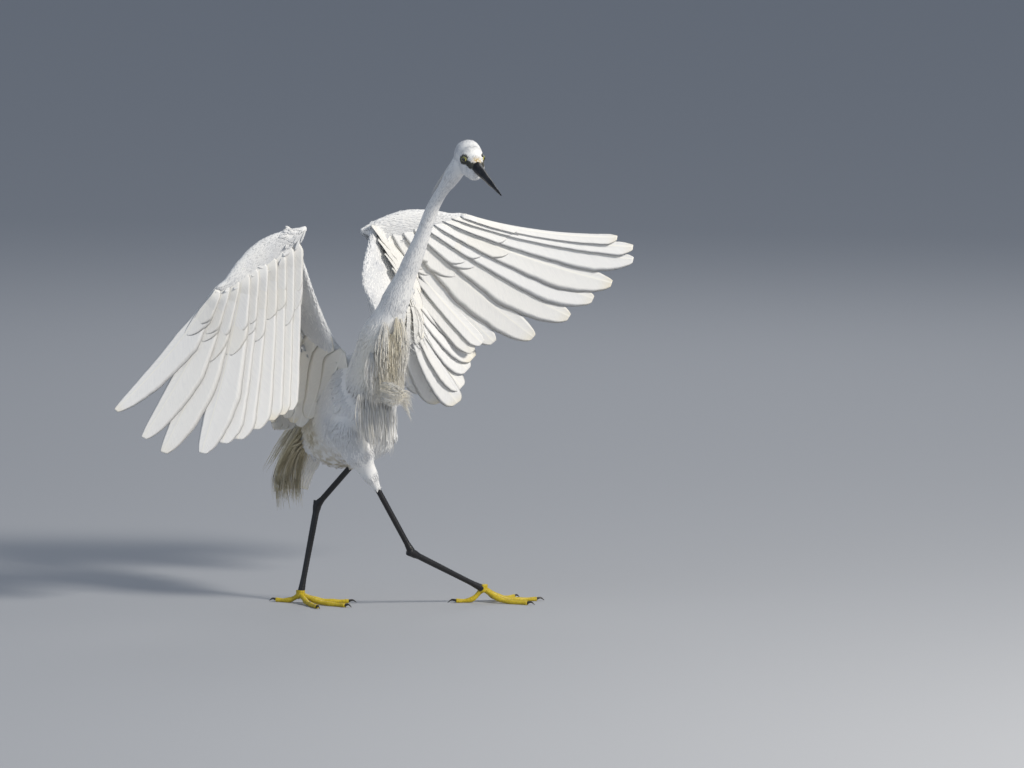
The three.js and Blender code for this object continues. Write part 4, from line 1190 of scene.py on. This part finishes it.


# %% [markdown]
# ### Plumes of back, rump, breast and nape
#
# The back's plumes fan over the tail, and the rump's plumes hang beside it, going brown with painted shade
# where they hang in the bird's shade. On the breast, locks hang from the base of the neck, bundles blow
# forward, white ones hang before the belly, and a few curl.

# %% Plumes
ELEVATION = math.radians(7)
plume_pieces = []
roll = np.random.default_rng(5)
back = Strands()
for i in range(22):
    way = 2 * i / 21 - 1
    lift, reach = (i % 3) * 1.6, 4 + 20 * roll.random()
    back.bundle([
        body_point(-14 - 8 * roll.random(), 11 * way, 44),
        body_point(-48, 14 * way, 51 + lift - 4 * way * way),
        body_point(-84, 18 * way, 35 + lift - 4 * way * way), body_point(-122, 27 * way, 16 + lift),
        body_point(-146 - reach, 31 * way + 6 * (roll.random() - 0.5), -1 + lift),
    ], 16, 4.5, 0.5, 0.45, BODY_RIGHT, BODY_UP)
back.build("back_plumes")

rump = Strands()
for i in range(30):
    way = 2 * i / 29 - 1
    drop = roll.uniform(0.7, 1.05)
    line_points = [
        body_point(-70, 18 + 12 * way, 22 - 26 * roll.random()),
        body_point(-94, 24 + 14 * way, 12 - 18 * drop),
        body_point(-112 - 8 * roll.random(), 30 + 16 * way, -8 - 20 * drop),
        body_point(-118 - 12 * roll.random(), 32 + 18 * way, -20 - 40 * drop),
    ]
    # Tints from 0.55 to 0.95 take these plumes from cream to the brown of painted shade.
    rump.bundle(line_points, 12, 4, 0.42, roll.uniform(0.55, 0.95), BODY_RIGHT, BODY_UP)
rump.build("rump_plumes")

breast = Strands()
for i in range(30):
    way = 2 * i / 29 - 1
    turn = math.radians(mix(-46, 24, (way + 1) / 2))
    out = HEADING * math.cos(turn) + ACROSS_BREAST * math.sin(turn)
    high = mix(0.13, 0.3, roll.random())
    at, girth = neck_curve.at(high), neck_radius(high)[1] + 0.5
    drop = mix(40, 74, roll.random())
    breast.bundle([
        at + out * girth, at + out * (girth + 4) - UP * 14, at + out * (girth + 5) - UP * 38,
        at + out * (girth + 3 + 5 * roll.random()) - UP * drop + ACROSS_BREAST * roll.uniform(-6, 9),
    ], 21, 5.4, 0.34, mix(0.46, 0.02, abs(way)), np.cross(out, UP), out, 0.8)
for i in range(34):
    low = roll.random()
    start = seen_at(4 + 10 * roll.random(), mix(226, 250, roll.random()), -84)
    line_points = [
        start, start + point(14, -5, -3), seen_at(30 + 6 * roll.random(), 222 + 16 * low, -82),
        seen_at(36 + 10 * roll.random(), mix(198, 234, low), -74),
    ]
    breast.bundle(line_points, 8, 3.4, 0.26, mix(0, 0.35, roll.random()), UP, HEADING, 0.4)
for i in range(18):
    across = mix(-18, 18, i / 17) + roll.uniform(-2, 2)
    breast.bundle([
        seen_at(across, 238 - 6 * roll.random(), -66), seen_at(across + 1, 214, -65),
        seen_at(across + 2, 192, -57),
        seen_at(across + 1 + 4 * roll.random(), mix(160, 180, roll.random()), -46),
    ], 14, 5.2, 0.32, 0.08, ACROSS_BREAST, HEADING, 0.7)
for i in range(9):
    sag = roll.uniform(0.6, 1.1)
    breast.bundle([
        seen_at(30, 320 - 3 * i, -66), seen_at(31 + 18 * sag, 316 - 4 * i, -70),
        seen_at(31 + 27 * sag, 304 - 3 * i, -72), seen_at(31 + 20 * sag, 292 - 2 * i, -72),
        seen_at(38, 291 - 2 * i, -70),
    ], 3, 1.4, 0.2, 0.05, UP, HEADING)
breast.build("breast_plumes")

nape = Strands()
for i in range(9):
    way = (i - 4) / 4
    line_points = []
    for t in (0.97, 0.9, 0.82 - 0.04 * roll.random()):
        line_points.append(neck_curve.at(t) + HEAD_RIGHT * 5 * way - HEADING * (neck_radius(t)[1] + 1.5))
    nape.bundle(line_points, 6, 1.5, 0.25, 0.1, HEAD_RIGHT, HEADING)
nape.build("nape_plumes")

# %% [markdown]
# ## Bill, eyes and lids
#
# The bill is a slender dagger of black horn in two halves, with a slit of a nostril in the upper one. The eye
# is a ball with a clear swelling over the pupil, and a ring of bare lid holds it. Each is lofted or turned
# round its own axis, so the sections follow the real growth.

# %% Bill
BILL_ROWS = [(0, 6, 6.4), (0.15, 4.8, 5.4), (0.5, 3, 3.6), (0.85, 1.44, 1.66), (1, 0.36, 0.5)]
BILL_LENGTH = np.linalg.norm(BILL_TIP - BILL_BASE)
MOUTH, MOUTH_GAP = -0.8, 0.12
NOSTRIL_TURN = 0.55


def bill_half(name, way):
    """The upper half with way 1 or the lower half with way -1: an arch closed by a flat at the mouth."""
    edge = MOUTH + way * MOUTH_GAP
    rings = []
    for t in np.linspace(0, 1, 45):
        wide, high = [1.08 * value for value in read_along(BILL_ROWS, t)]
        ahead = mix(-6, BILL_LENGTH, t)
        ring = []
        for turn in np.linspace(0, math.pi, 20):
            across, up = math.cos(turn) * wide, math.sin(turn) * high * way
            keel = 1 + 0.06 * math.sin(turn) ** 8
            off_slit = (turn if turn < math.pi / 2 else math.pi - turn) - NOSTRIL_TURN
            groove = 1
            if way > 0:
                groove -= 0.2 * (math.exp(-(((ahead - 13) / 6) ** 4)) * math.exp(-(off_slit / 0.16) ** 2))
                groove -= 0.05 * math.exp(-((off_slit / 0.22) ** 2)) * math.exp(-(((ahead - 18) / 16) ** 4))
            height = groove * (max if way > 0 else min)(up * keel, edge)
            at_edge = math.sin(turn) < 1e-6
            ring.append(head_point(ahead, across * groove, edge if at_edge else height))
        for share in (0.8, 0.5, 0.2):
            ring.append(head_point(ahead, math.cos(math.pi * share) * wide * 0.8, edge))
        rings.append(np.array(ring))
    return make_object(name, *closed_mesh(rings))


horn = f = Finish("black_horn", (0.01, 0.01, 0.011), 0.34, Specular_IOR_Level=0.3)
streak = f.noise(f.place(), 220.0, 3.0)
f.paint(f.ramp(streak, (0.3, (0.004, 0.004, 0.005)), (0.8, (0.012, 0.012, 0.014))))
f.relief(streak, 0.0002, 0.5)
bill_pieces = [bill_half("bill_upper_horn", 1), bill_half("bill_lower_horn", -1)]
print("bill length in mm", round(BILL_LENGTH, 1))

# %% Eyes and lids
EYE_SINK = 1.2
LID_STEPS = 32


def lid_mesh(centre, axis):
    """A ring of round section, drawn out a little at the two corners of the eye."""
    side = unit(np.cross(axis, UP))
    up = np.cross(side, axis)
    turns = np.linspace(0, 2 * math.pi, 13)[:-1]
    section = [(3.1 + 0.5 * math.sin(turn), 3.7 + 0.55 * math.cos(turn)) for turn in turns]
    points, faces, count = [], [], len(section)
    for i in range(LID_STEPS):
        turn = i / LID_STEPS * 2 * math.pi
        corner = 0.5 * max(0, math.cos(turn)) ** 6 + 0.35 * max(0, -math.cos(turn)) ** 6
        out = side * math.cos(turn) + up * math.sin(turn) * (0.9 - 0.04 * math.cos(turn))
        points += [centre + axis * (a - corner * 0.8) + out * (r + corner) for a, r in section]
        for j in range(count):
            a, b, after = i * count, (i + 1) % LID_STEPS * count, (j + 1) % count
            faces.append((a + j, a + after, b + after, b + j))
    return np.array(points), faces


def eye_finish(name, centre, axis):
    f = Finish(name, (0.7, 0.6, 0.1), 0.08, Coat_Weight=1.0, Coat_Roughness=0.02)
    off = f.vector("SUBTRACT", f.place(), tuple(metres(centre)))
    facing = f.vector("DOT_PRODUCT", off, tuple(axis), "Value")
    cosine = f.maths("DIVIDE", facing, f.add("VectorMath", {0: off}, operation="LENGTH")["Value"])
    iris = f.ramp(f.noise(off, 1400.0), (0.3, (0.36, 0.34, 0.04)), (0.7, (0.66, 0.62, 0.14)))
    rim = f.ramp(cosine, (0.6, (0.02, 0.02, 0.015)), (0.7, FULL))
    pupil = f.ramp(cosine, (0.82, BLACK), (0.84, FULL))
    f.paint(f.blend(pupil, f.blend(1.0, iris, rim, "MULTIPLY"), (0.004, 0.004, 0.005)))
    return f


eye_pieces, lid_pieces = [], []
for way, side_name in ((1, "right"), (-1, "left")):
    centre = head_point(-EYE_BACK, way * (EYE_SIDE - EYE_SINK), EYE_UP)
    axis = unit(HEAD_RIGHT * way + HEAD_AHEAD * 0.6)
    side = unit(np.cross(axis, UP))
    rings = []
    for turn in np.linspace(0, math.pi, 25):
        swell = 0.35 * math.exp(-((turn / 0.55) ** 2))
        radius = max(math.sin(turn) * (EYE_RADIUS + swell * 0.3), 0.02)
        at = centre + axis * (math.cos(turn) * (EYE_RADIUS + swell))
        rings.append(oval(at, side, np.cross(side, axis), radius, radius, 36))
    ball = make_object(f"eyeball_{side_name}", *closed_mesh(rings))
    eye_pieces.append((ball, eye_finish("eye_" + side_name[-4:], centre, axis), f"eye_{side_name}"))
    lid_pieces.append(make_object(f"lid_{side_name}", *lid_mesh(centre, axis)))

lid_finish = f = Finish("lid_skin", (0.16, 0.17, 0.09), 0.5)
grain = f.cells(f.place(), 1500.0)
f.paint(f.ramp(grain, (0, (0.07, 0.075, 0.04)), (1, (0.3, 0.31, 0.16))))
f.relief(grain, 0.0002, 0.6)

# %% [markdown]
# ## Legs and feet
#
# The bare leg is covered with horny plates: a row of broad ones down the front, small round ones behind. They
# are shaped into the limb's own section, because a ridge of a tenth of a millimetre is what makes them catch
# the light. The toes swell at their joints and carry long claws.

# %% Legs
SHANK_ROWS = [(0, 3.1, 3.1), (0.85, 3.1, 3.1), (1, 4.4, 4.6)]
TARSUS_ROWS = [(0, 4.9, 5.1), (0.06, 4.5, 4.8), (0.14, 3.4, 3.9), (0.8, 2.9, 3.4), (1, 3.9, 4.1)]
PLATE_DEPTH, TOE_PLATE = 0.22, 2.2


def plated_rings(points, radius, steps, count, front, relief):
    """Rings of a limb, each point pushed out by "relief" of its ring, its way along and its turn."""
    curve = Line(points)
    rings = []
    for i in range(steps + 1):
        t = i / steps
        along = curve.tangent(t)
        side = unit(np.cross(along, front))
        ahead = unit(np.cross(side, along))
        half_width, half_height = radius(t)
        ring = []
        for turn in round_turns(count):
            grow = relief(i, t, t * curve.length[-1], turn)
            across = side * math.cos(turn) * (half_width + grow)
            ring.append(curve.at(t) + across + ahead * math.sin(turn) * (half_height + grow))
        rings.append(np.array(ring))
    return rings


def scaled_limb(name, points, rows, pitch, steps):
    """A limb with a row of plates on its front: the edge of each plate stands proud of the next."""
    def relief(i, t, far, turn):
        plate, small = (far / pitch) % 1, 0.4 * math.sin(turn * 7 + (i % 2) * math.pi)
        return PLATE_DEPTH * (plate if math.sin(turn) > 0.1 else 0.5 * plate + 0.4 * small)

    rings = plated_rings(points, lambda t: read_along(rows, t), steps, 20, HEADING, relief)
    return make_object(name, *closed_mesh(rings))


def toe(leg, name, turn, length):
    """The rings of a toe, level on the floor from its middle on, and of its claw."""
    swing = math.radians(turn * leg["hand"])
    ahead = leg["foot"] * math.cos(swing) + np.cross(UP, leg["foot"]) * math.sin(swing)
    points = [leg["joint"] + ahead * far for far in (1, length * 0.36, length * 0.6, length)]
    points[1][2] = mix(leg["joint"][2], TOE_RADIUS, 0.86)
    points[2][2] = TOE_RADIUS * 0.9 - TOE_FLAT
    points[3][2] = TOE_RADIUS * TOE_TAPER - TOE_FLAT
    knuckles = 2 if name == "hind" else 3

    def radius(t):
        swell = 0.3 * math.cos(t * knuckles * 2 * math.pi)
        return [mix(TOE_RADIUS, TOE_RADIUS * TOE_TAPER, t) + swell] * 2

    def relief(i, t, far, angle):
        bead = 0.14 * math.sin(angle * 6) * math.sin(t * length * 2.2)
        return 0.2 * ((far / TOE_PLATE) % 1) if math.sin(angle) > 0.2 else bead

    rings = plated_rings(points, radius, 60, 18, UP, relief)
    for ring in rings:
        ring[:, 2] = np.maximum(ring[:, 2], 0.02)
    start = points[-1] + ahead * 0.1
    claw_line = [
        start - ahead * 1.5, start + ahead * 4.5 + UP * 1.5, start + ahead * (CLAW_LENGTH - 0.3) - UP * 1.2,
    ]
    claw_line[-1][2] = 0.75
    claw = limb_rings(claw_line, lambda t: (mix(1.5, 0.25, t), mix(1.8, 0.3, t)), 14, 12)
    return closed_mesh(rings), closed_mesh(claw)


leg_pieces, foot_pieces, claw_pieces = [], [], []
for leg in LEGS:
    side_name, ankle, joint = leg["name"], leg["ankle"], leg["joint"]
    for part, line_points, *sizes in (
        ("shank", [mix(leg["knee"], ankle, 0.38), ankle], SHANK_ROWS, 3.4, 90),
        ("tarsus", [ankle - unit(joint - ankle) * 4.6, ankle, joint], TARSUS_ROWS, 3.2, 150),
    ):
        name = f"{part}_{side_name}"
        leg_pieces.append((scaled_limb(name + "_scales", line_points, *sizes), name))
    toes, claws = zip(*[toe(leg, *sizes) for sizes in TOES])
    pad = limb_rings(
        [joint + 5 * UP, joint, joint - 2.2 * UP + leg["foot"] * 1.5],
        lambda t: (5.0 - 1.2 * t * (1 - t), 5.0), 14, 20, leg["foot"],
    )
    names = [f"{side_name}_{name}" for name, _, _ in TOES]
    foot_pieces.append((
        make_object(f"foot_{side_name}_scales", *joined([*toes, closed_mesh(pad)])),
        f"foot_{side_name}", *["toe_" + name for name in names],
    ))
    claw_piece = make_object(f"claws_{side_name}", *joined(claws))
    claw_pieces.append((claw_piece, *["claw_" + name for name in names]))


def scale_finish(name, dark, light, roughness):
    f = Finish(name, light, roughness)
    place = f.place()
    cells = f.cells(place, 620.0)
    f.paint(f.blend(f.noise(place, 90.0, 3.0), f.ramp(cells, (0, light), (0.9, dark)), light))
    f.relief(f.maths("SUBTRACT", 1.0, cells), 0.0002, 0.5)
    return f


leg_finish = scale_finish("black_leg_skin", (0.004, 0.004, 0.005), (0.013, 0.013, 0.015), 0.42)
foot_finish = scale_finish("yellow_foot_skin", (0.22, 0.14, 0.006), (0.66, 0.5, 0.02), 0.45)
claw_finish = Finish("claw_horn", (0.03, 0.026, 0.02), 0.35)

# %% [markdown]
# ## Tying the pieces to the bird
#
# The skin and its coat stand for all the fleshy parts, and the vanes for the wings and tail. The model is
# still, so everything rides on its one body.

# %% Tie
def tie(finish, slot_name, piece, *nodes_replaced):
    piece.data.materials.clear()
    piece.data.materials.append(finish.material)
    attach(piece, "root")
    if nodes_replaced:
        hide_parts(*nodes_replaced)


for name in ("way", "tuft"):
    skin.data.attributes.remove(skin.data.attributes[name])
flesh = ["torso", "neck_base", "neck_middle", "neck_top", "head", "thigh_right", "thigh_left"]
wing_nodes = [f"wing_{way}_{part}" for way in ("right", "left") for part in ("arm", "hand")]
tie(skin_finish, "plumage", skin, *flesh, *wing_nodes, "tail")
for finish, pieces in (
    (coat_finish, coat_pieces), (vane_finish, vane_pieces), (plume_finish, plume_pieces),
    (lid_finish, lid_pieces),
):
    for piece in pieces:
        tie(finish, "plumage", piece)
for piece, name in zip(bill_pieces, ("bill_upper", "bill_lower")):
    tie(horn, "bill", piece, name)
for piece, finish, name in eye_pieces:
    tie(finish, "eye", piece, name)
for finish, slot_name, pieces in (
    (leg_finish, "leg_skin", leg_pieces), (foot_finish, "foot_skin", foot_pieces),
    (claw_finish, "claw", claw_pieces),
):
    for piece, *names in pieces:
        tie(finish, slot_name, piece, *names)
for kit in (soft_tufts, fine_tufts, lining_tufts):
    for item in list(kit.objects):
        bpy.data.objects.remove(item)
    bpy.data.collections.remove(kit)

# %% [markdown]
# ## Floor, light and camera
#
# A plain pale floor carries the bird. One large warm light stands for the low sun, on the right of the
# picture, and a broad cool one fills from the left. The camera is far off with a long lens, a little above
# the bird, as a wildlife photograph is taken.

# %% Stage
bpy.ops.mesh.primitive_plane_add(size=120, location=(0, 0, 0))
floor = bpy.context.object
floor.name = "floor"
floor.data.materials.append(Finish("pale_floor", (0.42, 0.43, 0.45), 0.9).material)

scene = bpy.context.scene
scene.world = bpy.data.worlds.new("studio")
scene.world.use_nodes = True
background = scene.world.node_tree.nodes["Background"].inputs
background["Color"].default_value = (0.56, 0.65, 0.8, 1)
background["Strength"].default_value = 0.42
scene.view_settings.view_transform = "Standard"

BIRD_CENTRE = Vector((0, 0, 0.3))
for name, place, size, power, colour in (
    ("sun_side", (2.3, -1.8, 2.2), 0.6, 112, (1, 0.95, 0.87)),
    ("sky_fill", (-2.6, -1.8, 1.6), 2.5, 13, (0.8, 0.89, 1)),
    ("back_glow", (0.4, 2.6, 1.8), 1.6, 12, (1, 0.98, 0.95)),
):
    lamp = bpy.data.lights.new(name, "AREA")
    lamp.size, lamp.energy, lamp.color = size, power, colour
    holder = show(name, lamp)
    holder.location = place
    holder.rotation_euler = (BIRD_CENTRE - Vector(place)).to_track_quat("-Z", "Y").to_euler()

CAMERA_AWAY, FRAME_WIDTH, SENSOR = 25.0, 1.1264, 36
aim = metres(point(150.7, 0, 248.3))
camera = bpy.data.cameras.new("camera")
camera.sensor_width = SENSOR
camera.lens = SENSOR * CAMERA_AWAY / FRAME_WIDTH
camera.clip_end = 200
viewer = show("camera", camera)
viewer.location = aim + np.array([0, -math.cos(ELEVATION), math.sin(ELEVATION)]) * CAMERA_AWAY
viewer.rotation_euler = (math.pi / 2 - ELEVATION, 0, 0)
scene.camera = viewer
print("lens in mm", round(camera.lens, 1))
